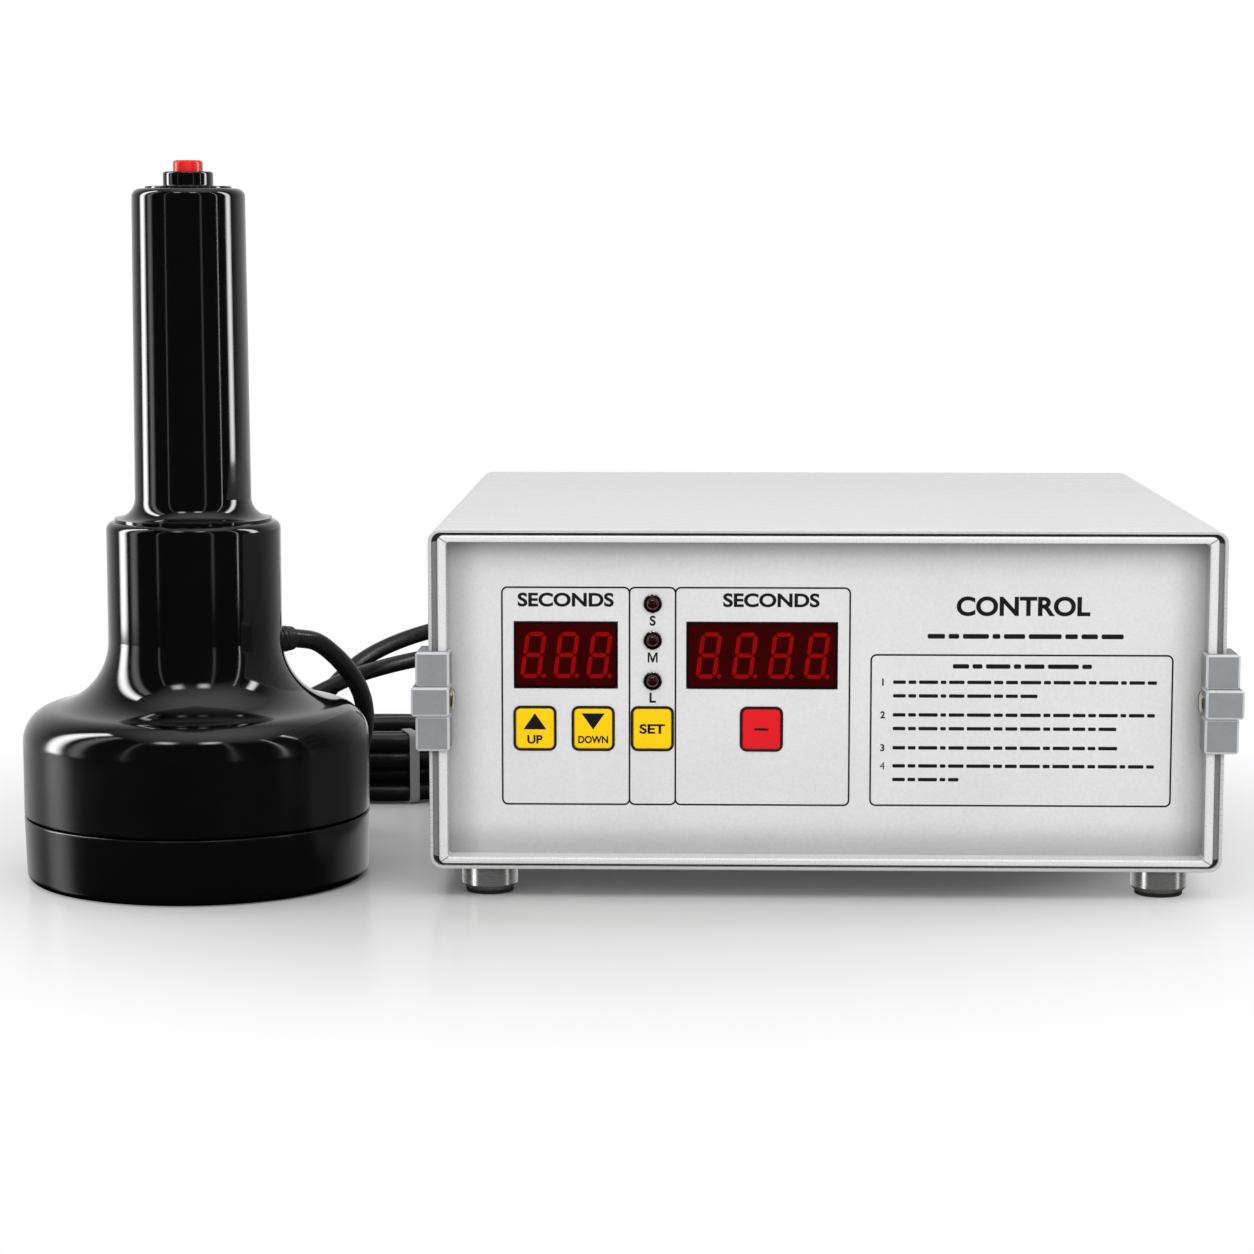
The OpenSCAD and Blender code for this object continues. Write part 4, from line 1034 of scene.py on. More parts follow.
@dataclass
class Cable:
    """One cable: a free stretch, a hank of turns by formula, and a second free stretch."""

    name: str
    start: Sequence[Point]
    finish_route: Sequence[Point]
    layers: Pair
    mirrored: bool
    last_fold: float
    centre: Pair = (-142.5, 88.0)
    run: float = 84.0
    outer: float = 28.0
    inner: float = 21.0
    diameter: float = 7.0
    spacing: float = 2.5
    sides: int = 18
    row_steps: int = 8
    fold_steps: int = 14

    def _row(self, side: int, radii: Pair, heights: Pair) -> Array:
        """A straight row of the hank, eased from one radius and height to the next.

        Args:
            side: -1 for the front row, which runs to -X, or 1 for the back row.
            radii: distance from the hank's middle at its start and end.
            heights: height at its start and end.

        Returns:
            The row's points, without its ends.
        """
        t = np.linspace(0, 1, self.row_steps + 1)[1:-1]
        ease = t * t * (3 - 2 * t)
        return np.column_stack([
            self.centre[0] + side * self.run * (t - 0.5),
            self.centre[1] + side * (radii[0] + (radii[1] - radii[0]) * ease),
            heights[0] + (heights[1] - heights[0]) * ease,
        ])

    def _fold(self, side: int, radius: float, height: float, share: float = 1.0) -> Array:
        """A half-round fold of the hank, or the first share of one.

        Args:
            side: -1 or 1 for the end at -X or +X.
            radius: its radius.
            height: its height.
            share: share of the half round.

        Returns:
            The fold's points.
        """
        start, end = 90 * side, 90 * side - 180 * share
        middle = (self.centre[0] + side * self.run / 2, self.centre[1])
        return np.insert(arc(middle, radius, start, end, self.fold_steps), 2, height, axis=1)

    def turns(self) -> Array:
        """Turns of the hank: outer, inner, inner on the next layer, outer on that layer.

        Returns:
            Points of the winding, mirrored front to back where the cable runs the other way.
        """
        first, second = self.layers
        radii = (self.outer, self.inner, self.inner, self.outer)
        heights = (first, first, second, second)
        parts = []
        for radius, height, next_radius, next_height in zip(radii, heights, radii[1:], heights[1:]):
            parts += [
                self._fold(-1, radius, height), self._row(1, (radius,) * 2, (height,) * 2),
                self._fold(1, radius, height),
                self._row(-1, (radius, next_radius), (height, next_height)),
            ]
        parts.append(self._fold(-1, self.outer, second))
        if self.last_fold > 0:
            parts.append(self._row(1, (self.outer,) * 2, (second,) * 2))
            parts.append(self._fold(1, self.outer, second, self.last_fold))
        points = np.vstack(parts)
        if self.mirrored:
            points[:, 1] = 2 * self.centre[1] - points[:, 1]
        return points

    def build(self, *stood_for: str) -> tuple[bpy.types.Object, Array]:
        """Makes the cable: a circle carried along its centreline, with closed ends.

        Args:
            stood_for: nodes of the frame that it replaces.

        Returns:
            The cable and its centreline.
        """
        route = np.vstack([np.array(self.start), self.turns(), np.array(self.finish_route)])
        path = smooth_path(route, self.spacing)
        ahead = np.gradient(path, axis=0)
        ahead /= np.linalg.norm(ahead, axis=1, keepdims=True)
        side = np.cross(ahead, [0.0, 0.0, 1.0])
        side /= np.linalg.norm(side, axis=1, keepdims=True)
        angle = circle_angles(self.sides)
        circle = self.diameter / 2 * np.column_stack([np.cos(angle), np.sin(angle)])
        shell = Shell().grid(sweep(path, circle, side, np.cross(side, ahead)))
        return shell.piece(self.name, CABLE_BLACK, *stood_for, sharp=60.0), path


HEAD_CABLE = Cable(
    name="head_lead",
    start=(
        (-123.73, -60.35, 84), (-116, -54.5, 82), (-110, -49, 76.5), (-105.5, -43, 70),
        (-102, -37, 62.5), (-100.5, -31, 54.5), (-101, -25, 46), (-104, -17, 33), (-108, -6, 19),
        (-113, 7, 8.5), (-121, 21, 4.6), (-132, 34, 4.5), (-146, 46, 4.5), (-161, 55, 4.5),
        (-178, 60, 4.5),
    ),
    finish_route=(
        (-176, 116, 11.5), (-166, 118.5, 11.2), (-156, 124, 13), (-147, 131, 20), (-138, 139, 31),
        (-129, 150, 41), (-117, 165, 49), (-100, 179, 55), (-80, 188, 59), (-60, 191.95, 61),
        (-40, 192.4, 62), (-28, 191.5, 62), (-15, 189, 62), (-4.5, 182, 62), (2.5, 171, 62),
        (5, 158.65, 62),
    ),
    layers=(4.5, 11.5),
    mirrored=False,
    last_fold=0.0,
)
MAINS_CABLE = Cable(
    name="mains_cable",
    start=(
        (-25, 158.65, 50), (-27, 169.5, 50), (-33.5, 179, 50), (-43, 185.5, 50), (-54, 187.5, 49.5),
        (-66, 186.5, 48.7), (-78, 182.5, 47.8), (-91, 174, 46.5), (-106, 161, 44.8),
        (-117, 148, 43.2), (-125, 136.5, 41.5), (-133, 127.5, 38.5), (-143, 121, 34),
        (-155, 117.5, 29), (-168, 116, 25.5),
    ),
    finish_route=(
        (-72.5, 98, 18.6), (-72.8, 108, 18.6), (-74.5, 119, 15), (-78.5, 130, 9.5), (-85, 140, 5.5),
        (-93.5, 147.5, 4.6), (-102.5, 152, 5.6), (-112, 153, 6.9),
    ),
    layers=(25.5, 18.5),
    mirrored=True,
    last_fold=0.5,
)


@dataclass
class CableSet:
    """Both cables, their strain reliefs, the plug and the tie round the hank."""

    relief_tip: float = 158.65
    panel_face: float = 136.65
    relief_flange: tuple[Pair, ...] = ((0, -5), (6, -5), (6, 0), (7.2, 0), (7.5, 2.4), (7.5, 2.5))
    relief_round: float = 0.5
    relief_neck: Pair = (5.8, 3.0)
    relief_sleeve: Pair = (5.6, 4.35)
    relief_span: Pair = (3.4, 1.2)
    relief_steps: int = 40
    relief_rings: int = 5
    relief_groove: float = 0.5
    relief_steep: float = 1.6
    relief_crest: float = 0.3
    relief_plain: float = 0.9
    relief_end: tuple[Pair, ...] = ((4.1, -0.4), (3.6, 0.0), (0.0, 0.0))
    plug_start: Point = (-112.0, 153.0, 6.9)
    plug_sections: tuple[Box, ...] = (  # along, half width, half height, squareness
        (0.0, 3.9, 3.9, 2.0), (0.6, 4.3, 4.3, 2.0), (11.0, 5.0, 5.0, 2.0), (20.0, 5.7, 5.7, 2.2),
        (22.0, 7.0, 5.9, 2.4), (26.0, 11.5, 6.3, 2.8), (31.0, 15.6, 6.7, 3.2),
        (36.0, 17.3, 6.83, 3.6), (41.0, 17.45, 6.85, 3.8), (46.0, 17.0, 6.8, 3.8),
        (50.6, 16.2, 6.7, 3.8), (51.7, 15.4, 6.0, 3.8), (52.0, 14.2, 5.0, 3.8),
    )
    plug_steps: int = 60
    plug_sides: int = 56
    rib_span: Pair = (3.0, 19.0)
    rib_pitch: float = 3.4
    rib_depth: float = 0.45
    rib_level: float = 0.2
    pin_r: float = 2.0
    pin_l: float = 19.0
    pin_round: float = 1.4
    pin_pitch: float = 18.6
    tie_turn: float = -70.0
    tie_arm: float = 24.5
    tie_z: float = 15.0
    tie_room: Pair = (7.4, 14.0)
    tie_round: float = 2.6
    tie_band: float = 0.8
    tie_w: float = 4.0
    tie_bevel: float = 0.2

    def build(self) -> None:
        """Makes the cables and what is on them."""
        self._relief("head_lead_relief", "head_cable_relief")
        self._relief("mains_boot", "mains_relief")
        plug, pins, tie = self._plug(), self._pins(), self._tie()
        self._lead(HEAD_CABLE, ("head_cable", "head_hank", "head_cable_tail"), "object", [])
        nodes = ("mains_lead", "mains_hank", "mains_tail")
        self._lead(MAINS_CABLE, nodes, "plug", [plug, pins, tie])

    @staticmethod
    def _lead(
        cable: Cable, nodes: Sequence[str], far_end: str, on_it: list[bpy.types.Object]
    ) -> None:
        """Args:
            cable: the cable.
            nodes: nodes of the frame that it replaces.
            far_end: what it ends in; not used.
            on_it: separate pieces on it; not used.
        """
        lead, path = cable.build(*nodes)

    def _relief(self, name: str, node: str) -> None:
        """Strain relief: barrel through the panel, flange, and a tapered sleeve with ring grooves.

        The sleeve's radius falls evenly, less a clipped sine wave for its grooves.

        Args:
            name: name of the piece.
            node: node of the frame that it replaces.
        """
        centre, length = middle(node), self.relief_tip - self.panel_face
        wide, slim = self.relief_sleeve
        share = np.linspace(0, 1, self.relief_steps)
        along = self.relief_span[0] + (length - sum(self.relief_span)) * share
        wave = self.relief_steep * np.sin(share * self.relief_rings * 2 * math.pi)
        groove = self.relief_groove * np.clip(wave, -1, self.relief_crest)
        radius = wide + (slim - wide) * share + groove * (share < self.relief_plain)
        pen = Pen(*self.relief_flange).turn(self.relief_round, 0, 90, 5).to(self.relief_neck)
        pen.to(*np.column_stack([radius, along])).to(*(np.array(self.relief_end) + [0, length]))
        origin = (centre[0], self.panel_face, centre[2])
        points = lathe(pen.profile(), origin, (0, 1, 0), turns=56)
        Shell().grid(points).piece(name, RELIEF_BLACK, node)

    def _plug(self) -> bpy.types.Object:
        """Plug: sections whose width, height and squareness change along its length.

        Across and up, a section is its half size times the cosine or sine to the power of two
        divided by the squareness. Ribs are cut round the sleeve.

        Returns:
            The plug.
        """
        sections = np.array(self.plug_sections)
        stations, *sizes = sections.T
        along = np.concatenate([np.linspace(0, stations[-3], self.plug_steps), stations[-2:]])
        half_w, half_h, square = (np.interp(along, stations, size) for size in sizes)
        on_sleeve = (along > self.rib_span[0]) & (along < self.rib_span[1])
        on_rib = np.sin(along * 2 * math.pi / self.rib_pitch) > self.rib_level
        ribs = self.rib_depth * (on_rib & on_sleeve)
        angle = circle_angles(self.plug_sides)
        wide, tall = (
            np.sign(wave) * np.abs(wave) ** (2 / square[:, None]) * (half - ribs)[:, None]
            for wave, half in ((np.cos(angle), half_w), (np.sin(angle), half_h))
        )
        back = np.broadcast_to(-along[:, None], wide.shape)
        points = capped(np.stack([back, wide, tall], axis=-1) + self.plug_start)
        return Shell().grid(points).piece("plug_body", RELIEF_BLACK, "mains_plug", sharp=45.0)

    def _pins(self) -> bpy.types.Object:
        """The two round pins with domed tips.

        Returns:
            Both pins as one piece.
        """
        shell = Shell()
        pen = Pen((0, 0), (self.pin_r, 0)).line(self.pin_r, self.pin_l - self.pin_round)
        profile = pen.turn(self.pin_round, 0, 90, 8).to((0, self.pin_l)).profile()
        root = np.array(self.plug_start) - [self.plug_sections[-1][0], 0, 0]
        for side in (-0.5, 0.5):
            at = root + [0, side * self.pin_pitch, 0]
            shell.grid(lathe(profile, at, (-1, 0, 0), turns=32))
        return shell.piece("plug_contacts", PIN_BRASS, "plug_pins")

    def _tie(self) -> bpy.types.Object:
        """Cable tie: a flat band with bevelled edges, as a rounded loop round both hanks.

        Returns:
            The tie.
        """
        angle = math.radians(self.tie_turn)
        out = np.array([math.cos(angle), math.sin(angle), 0.0])
        along = np.array([-out[1], out[0], 0.0])
        hank_x, hank_y = HEAD_CABLE.centre
        fold = np.array([hank_x + HEAD_CABLE.run / 2, hank_y, self.tie_z])
        half, band, bevel = self.tie_w / 2, self.tie_band, self.tie_bevel
        flat = half - bevel
        edge = np.array([(0, flat), (bevel, half), (band - bevel, half), (band, flat)])
        rows = []
        for grow, shift in np.vstack([edge, edge[::-1] * [1, -1]]):
            loop = rounded_box(*(np.array([*self.tie_room, self.tie_round]) + grow))
            spread = loop[:, :1] * out + loop[:, 1:] * [0, 0, 1]
            rows.append(fold + self.tie_arm * out + spread + shift * along)
        return Shell().grid(np.stack(rows), wrap_rows=True).piece("hank_tie", TIE_GREY, "cable_tie")


@dataclass
class Housing:
    """The control unit's sheet-metal housing: covers, bezels, clamps, screws and feet."""

    sheet: float = 1.2
    corner: float = 4.6
    seam: float = 0.4
    edge_round: float = 0.35
    side_groove: float = 2.2
    side_bead: float = 3.0
    level_groove: float = 0.9
    level_bead: float = 2.3
    groove_depth: float = 1.6
    bead_rise: float = 1.0
    bead_round: float = 0.7
    bead_foot: float = 0.2
    bezel_gap: float = 0.05
    bezel_corners: Point = (3.4, 2.0, 1.0)
    # painted shade in the groove and on the inner returns, and the dark lines of the mitre joints
    groove_shade_marks: Pair = (1.0, 0.72)
    mitre_mark: float = 0.6
    return_shade_marks: Point = (0.8, 0.3, 0.5)
    recess: float = 8.0
    clamp_blocks: tuple[Box, ...] = (  # bottom, top, reach to the side, reach ahead
        (-17.65, -5.15, 4.4, 4.0), (-5.15, 5.15, 5.9, 5.5), (5.15, 17.55, 4.4, 4.0),
    )
    clamp_back: float = 14.0
    clamp_bevel: float = 0.8
    clamp_inner: float = 7.6
    clamp_gap: float = 0.1
    clamp_seat: float = 0.02
    leg_t: float = 1.2
    leg_depth: float = 7.0
    screw: ScrewHead = ScrewHead(
        radius=3.8, height=1.6, recess=Recess.SLOT, recess_half=0.55, recess_reach=0.97,
        recess_depth=0.7, shares=(0.88, 0.94, 0.98), rings=12, sides=72, swell=0.93, sunk=0.4,
    )
    screw_y: float = 2.2
    foot_inset: Pair = (20.5, 12.5)
    foot_r: float = 10.0
    foot_h: float = 10.0
    foot_field_r: float = 1.0
    foot_round: float = 0.3
    foot_edge: float = 0.4
    foot_bevel: Pair = (1.5, 1.7)
    foot_turns: int = 72
    pad_h: float = 1.5
    pad_r: float = 8.5
    pad_seat: float = 1.0
    pad_round: float = 0.5

    def __post_init__(self) -> None:
        """Takes the housing's box from the covers in the frame."""
        top, bottom = node_box("top_cover"), node_box("bottom_cover")
        self.low, self.high = np.minimum(top[0], bottom[0]), np.maximum(top[1], bottom[1])
        self.middle, self.half = (self.low + self.high) / 2, (self.high - self.low) / 2
        self.groove_in = np.array([self.side_groove, self.level_groove]) + self.sheet
        self.opening_in = self.groove_in + [self.side_bead, self.level_bead]

    def build(self) -> None:
        """Makes the housing's pieces."""
        self._cover("upper_cover", 1, "top_cover")
        self._cover("lower_cover", -1, "bottom_cover")
        self._bezel("front_frame", -1, "front_bezel")
        self._bezel("rear_frame", 1, "rear_bezel")
        for x_side, y_side in CORNERS:
            x_name, y_name = ("left", "right")[x_side > 0], ("front", "rear")[y_side > 0]
            self._clamp(f"{y_name}_{x_name}_clamp", x_side, y_side, f"clamp_{y_name}_{x_name}")
        self._screws()
        self._feet()
        # the panels get painted shade towards the edges of the bezel's opening
        opening = (*self.middle[[0, 2]], *(self.half[[0, 2]] - self.opening_in))
        dress(replace(PANEL_METAL, shade_box=opening), "front_panel", "rear_panel")

    def _cover(self, name: str, side: int, node: str) -> None:
        """Cover: a rounded section of sheet, from front to back, carried along a rounded U.

        Args:
            name: name of the piece.
            side: 1 for the top, -1 for the bottom.
            node: node of the frame that it replaces.
        """
        w, h, r = self.half[0], self.half[2], self.corner
        pen = Pen((w, self.seam / 2)).line(w, h - r).turn(r, 0, 90, 12).line(r - w, h)
        path = pen.turn(r, 90, 180, 12).line(-w, self.seam / 2).profile()
        core = np.column_stack([np.clip(path[:, 0], r - w, w - r), np.minimum(path[:, 1], h - r)])
        inward = upright((core - path) / r * [1, side], (0, 0), 0.0)
        e, far = self.edge_round, self.sheet - self.edge_round
        front, back = self.low[1] + e, self.high[1] - e
        centres = ((e, front, 180), (far, front, 270), (far, back, 0), (e, back, 90))
        section = np.vstack([arc((x, y), e, turn, turn + 90, 4) for x, y, turn in centres])
        route = upright(path * [1, side], self.middle[[0, 2]], 0.0)
        ahead = np.tile([0.0, 1.0, 0.0], (len(path), 1))
        shell = Shell().grid(sweep(route, section, inward, ahead))
        shell.piece(name, COVER_METAL, node, sharp=40.0)

    def _bezel(self, name: str, side: int, node: str) -> None:
        """Bezel: groove, round bead and inner return, as nested rounded rectangles.

        The faces of the groove and of the inner edges are marked for painted shade, and the mitres
        for the dark lines of their joints.

        Args:
            name: name of the piece.
            side: -1 for the front, 1 for the rear.
            node: node of the frame that it replaces.
        """
        wall = np.full(2, self.sheet + self.bezel_gap)
        groove, bar = self.groove_in, self.opening_in
        outer_r, groove_r, inner_r = self.bezel_corners
        rise, run = self.bead_round * np.sin(QUARTER), self.bead_round * (1 - np.cos(QUARTER))
        crest = self.bead_round - self.bead_rise
        foot, floor = crest + self.bead_foot, self.groove_depth
        profile = [(wall, outer_r, self.recess), (wall, outer_r, floor)]
        profile += [(groove, groove_r, floor), (groove, groove_r, foot)]
        profile += [(groove + b, groove_r - b, crest - a) for a, b in zip(rise, run)]
        profile += [(bar - b, inner_r + b, crest - a) for a, b in zip(rise[::-1], run[::-1])]
        profile += [(bar, inner_r, foot), (bar, inner_r, self.recess)]
        edge = self.low[1] if side < 0 else self.high[1]
        half = self.half[[0, 2]]
        levels = [(*(half - inset), r, edge - side * depth) for inset, r, depth in profile]
        points = nested(levels, self.middle[[0, 2]], 5)
        marks = np.zeros(points.shape[:2])
        top, left, right, mitres = 5, 11, 23, [2, 8, 14, 20]  # columns of faces
        # painted shade in the groove and on the inner returns; the mitres are dark joint lines
        marks[:2] = self.groove_shade_marks[0]
        marks[:2, [left, right]] = self.groove_shade_marks[1]
        marks[2:-2, mitres] = self.mitre_mark
        marks[-2, [top, left, right]] = self.return_shade_marks
        Shell().grid(points, wrap_rows=True, marks=marks).piece(name, BEZEL_METAL, node)

    def _clamp(self, name: str, x_side: int, y_side: int, node: str) -> None:
        """Side clamp: three blocks whose U-shaped section hooks over the edge of the housing.

        Args:
            name: name of the piece.
            x_side: -1 for the left, 1 for the right.
            y_side: -1 for the front, 1 for the rear.
            node: node of the frame that it replaces.
        """
        shell, bevel = Shell(), self.clamp_bevel
        corner = self.middle + self.half * [x_side, y_side, 0]
        hook, leg = -self.bead_rise - self.clamp_gap, self.leg_t - self.clamp_gap - self.clamp_inner
        for low, high, out, ahead in self.clamp_blocks:
            rows = []
            for z, inset in ((low, bevel), (low + bevel, 0), (high - bevel, 0), (high, bevel)):
                side, face, inner = out - inset, inset - ahead, inset - self.clamp_inner
                section = np.array([
                    (side, self.clamp_back), (side, bevel - ahead), (out - bevel, face),
                    (bevel - self.clamp_inner, face), (inner, bevel - ahead),
                    (inner, self.leg_depth), (leg, self.leg_depth), (leg, hook),
                    (self.clamp_seat, hook), (self.clamp_seat, self.clamp_back),
                ])
                rows.append(corner + np.insert(section * [x_side, -y_side], 2, z, axis=1))
            # painted highlight: the bevel faces take the lighter edge colour
            marks = np.zeros((len(rows) - 1, len(section)))
            marks[:, [1, 3]] = 1.0
            marks[[0, 2], :5] = 1.0
            shell.prism(np.stack(rows), marks)
        shell.piece(name, CLAMP_GREY, node, sharp=20.0)

    def _screws(self) -> None:
        """Clamp screws: slotted pan heads, pressed on the inner legs."""
        shell = Shell()
        for x_side, y_side in CORNERS:
            inset = self.half - [self.clamp_inner, self.screw_y, 0]
            at = self.middle + inset * [x_side, y_side, 0]
            shell.grid(self.screw.points(at, (-x_side, 0, 0), (0, 1, 0)))
        shell.piece("clamp_screw_heads", SCREW_BRASS, "clamp_screws", sharp=30.0)

    def _feet(self) -> None:
        """Feet: turned steel cups with a bevelled lower edge, on rubber soles."""
        cups, soles = Shell(), Shell()
        r, h, p, seat = self.foot_r, self.foot_h, self.pad_h, self.pad_h + self.pad_seat
        pen = Pen((0, h), (self.foot_field_r, h)).line(r - self.foot_round, h)
        pen.turn(self.foot_round, 90, 0, 4).line(r, p + self.foot_bevel[1])
        cup = pen.turn(self.foot_edge, 0, -45, 3).to((r - self.foot_bevel[0], p), (0, p)).profile()
        pen = Pen((0, seat), (self.pad_r, seat), (self.pad_r, p)).line(self.pad_r, self.pad_round)
        sole = pen.turn(self.pad_round, 0, -90, 4).to((0, 0)).profile()
        for sides in CORNERS:
            at = (*(self.middle[:2] + sides * (self.half[:2] - self.foot_inset)), 0)
            cups.grid(lathe(cup, at, turns=self.foot_turns))
            soles.grid(lathe(sole, at, turns=self.foot_turns))
        cups.piece("foot_shells", FOOT_STEEL, "foot_cups")
        soles.piece("foot_soles", PAD_RUBBER, "foot_pads")


@dataclass
class ControlPanel:
    """The front panel's print, windows, digits, lamps and keys, and what stands behind it.

    Places on the panel are X from its middle and Z.
    """

    windows: tuple[tuple[str, str, int, float, float], ...] = (
        ("short", "seal_window", 3, 11.7, 0.8), ("long", "hold_window", 4, 12.75, 0.9),
    )
    window_r: float = 1.5
    window_bevels: tuple[Point, ...] = ((0.3, 0.2, 0.0), (0.1, 0.1, 0.1), (0.0, 0.0, 0.25))
    window_border: float = 1.0
    field_corner: float = 0.3
    print_step: float = 0.01
    lamp_proud: float = 2.8
    lamp_r: float = 2.5
    lamp_depth: float = 8.0
    lamp_sweep: float = 88.0
    ring_r: float = 3.5
    ring_t: float = 1.2
    ring_gap: float = 0.15
    ring_round: float = 0.6
    ring_neck: float = 0.5
    ring_depth: float = 1.9
    ring_dip: float = 0.25
    key_half: Pair = (6.7, 7.1)
    key_r: float = 1.6
    key_proud: float = 0.8
    key_round: float = 0.45
    key_flange: float = 1.2
    key_edge_gap: float = 0.1
    key_swell: float = 0.05
    key_rings: tuple[float, ...] = (0.85, 0.6, 0.3, 0.02)
    key_ring_r: float = 0.9
    key_depths: Point = (2.3, 3.3, 4.5)
    stem: Point = (2.5, 2.5, 2.49)
    rim_gap: float = 0.3
    rim_w: float = 0.7
    rim_t: float = 0.4
    rim_bevel: float = 0.15
    ink: float = 0.02
    line_w: float = 0.62
    line_round: float = 1.9
    boxes: tuple[Box, ...] = (  # lowest and highest X, lowest and highest Z
        (-114.5, -69.3, 32.1, 109.8), (-69.3, -53.0, 32.1, 109.8), (-53.0, 8.6, 32.1, 109.8),
        (16.2, 122.4, 32.2, 86.1),
    )
    labels: tuple[tuple[str, str, float, float, float, float | None], ...] = (
        ("first_heading", "SECONDS", -91.9, 105.4, 5.0, 34.0),
        ("second_heading", "SECONDS", -19.2, 105.4, 5.0, 34.0),
        ("small_mark", "S", -61.1, 98.0, 3.6, None), ("large_mark", "L", -61.1, 70.5, 3.6, None),
        ("title", "CONTROL", 69.6, 103.5, 7.0, 47.0),
        ("first_number", "1", 20.4, 76.4, 2.6, None), ("second_number", "2", 20.4, 64.7, 2.6, None),
        ("third_number", "3", 20.4, 52.9, 2.6, None), ("fourth_number", "4", 20.4, 46.4, 2.6, None),
    )
    word_rows: tuple[Box, ...] = (  # lowest and highest X, Z and height
        (36.0, 105.0, 92.8, 1.7), (45.0, 94.0, 82.1, 1.6), (24.0, 117.0, 76.4, 1.25),
        (24.0, 75.0, 71.5, 1.25), (24.0, 116.5, 64.7, 1.25), (24.0, 103.0, 59.8, 1.25),
        (24.0, 104.0, 52.9, 1.25), (24.0, 116.5, 46.4, 1.25), (24.0, 47.5, 41.5, 1.25),
    )
    word_lengths: tuple[float, ...] = (3.6, 2.2, 5.4, 1.6, 4.4, 6.8, 2.6, 3.4, 5.8, 2.0, 4.8)
    word_gap: float = 0.75
    word_round: float = 0.3
    word_most: int = 40
    letter_half: Pair = (1.75, 1.8)
    letter_stroke: float = 0.6
    letter_shares: Box = (0.25, 1.25, 0.45, 0.45)
    letter_place: Pair = (-61.1, 84.9)
    legends: tuple[tuple[str, str, float, float, float], ...] = (
        ("up", "UP", -3.9, 3.1, 5.4), ("down", "DOWN", -3.9, 2.7, 10.6),
        ("set", "SET", 0.0, 3.5, 9.0),
    )
    arrow_half: Pair = (4.1, 2.9)
    arrow_rise: float = 2.6
    bar_half: Pair = (2.5, 0.42)
    digit_size: Pair = (5.9, 15.0)
    digit_slant: float = 0.14
    digit_stroke: float = 1.5
    digit_gap: float = 0.22
    digit_shift: float = -0.6
    dot_place: Pair = (1.75, 0.1)
    dot_r: float = 0.85

    def __post_init__(self) -> None:
        """Takes the panel's middle and face from the frame."""
        low, high = node_box("front_panel")
        self.centre_x, self.face = (low[0] + high[0]) / 2, low[1]

    def build(self) -> None:
        """Makes the panel's pieces and dresses the parts behind it."""
        self._frames()
        self._words()
        for name, text, x, z, height, width in self.labels:
            centre = (self.centre_x + x, self.face - self.ink / 2, z)
            lettering(f"panel_{name}", text, centre, height, width)
        self._block_letter()
        for window in self.windows:
            self._window(*window)
        self._lamps()
        self._keys()
        dress(DISPLAY_BLACK, "seal_display", "hold_display")
        dress(SWITCH_BLACK, "key_switches")
        dress(BOARD_GREEN, "control_board", "power_board")
        dress(POST_BRASS, "board_posts")
        dress(SINK_METAL, "heatsink")
        dress(CORE_IRON, "transformer")

    def _frames(self) -> None:
        """Prints the frames: thin rings between two rounded rectangles."""
        shell, w, front = Shell(), self.line_w / 2, self.face - self.ink
        for low_x, high_x, low_z, high_z in self.boxes:
            size = np.array([(high_x - low_x) / 2, (high_z - low_z) / 2, self.line_round])
            steps = ((w, self.face), (w, front), (-w, front), (-w, self.face))
            centre = (self.centre_x + (low_x + high_x) / 2, (low_z + high_z) / 2)
            shell.grid(nested([(*(size + grow), y) for grow, y in steps], centre), wrap_rows=True)
        shell.piece("panel_frames", INK_BLACK)

    def _words(self) -> None:
        """Prints rows of bars of uneven lengths, in place of words."""
        shell, front = Shell(), self.face - self.ink
        for low_x, high_x, z, height in self.word_rows:
            lengths = np.resize(self.word_lengths, self.word_most) * height
            starts = np.concatenate([[0.0], np.cumsum(lengths + self.word_gap * height)[:-1]])
            halves = np.minimum(lengths, high_x - low_x - starts) / 2
            fitting = int(np.argmax(halves < height / 2))
            for start, half_w in zip(starts[:fitting], halves[:fitting]):
                size = (half_w, height / 2, self.word_round * height)
                levels = [(*size, self.face), (*size, front), (*FINE_POLE, front)]
                shell.grid(nested(levels, (self.centre_x + low_x + start + half_w, z), 3))
        shell.piece("panel_word_bars", INK_BLACK)

    def _block_letter(self) -> None:
        """Prints the mark of the medium lamp: two posts and the two strokes between their tops."""
        (a, b), stroke = self.letter_half, self.letter_stroke
        valley, top, notch, foot = self.letter_shares
        right = np.array([
            (0.0, -valley * b), (a - top * stroke, b), (a, b), (a, -b), (a - stroke, -b),
            (a - stroke, notch * b), (foot * stroke, -b),
        ])
        flat = np.vstack([right, right[:0:-1] * [-1, 1]])
        place = (self.centre_x + self.letter_place[0], self.letter_place[1])
        self._plate("panel_medium_mark", flat, place, self.face, Body.UNIT)

    def _plate(self, name: str, flat: Array, at: Sequence[float], y: float, body: Body) -> None:
        """Prints a flat outline on a face that looks to the front.

        Args:
            name: name of the piece.
            flat: X and Z of the outline's corners.
            at: X and Z of the outline's origin.
            y: face that it lies on.
            body: body of the frame that it moves with.
        """
        rows = np.stack([upright(flat, at, level) for level in (y, y - self.ink)])
        Shell().prism(rows).piece(name, INK_BLACK, body=body)

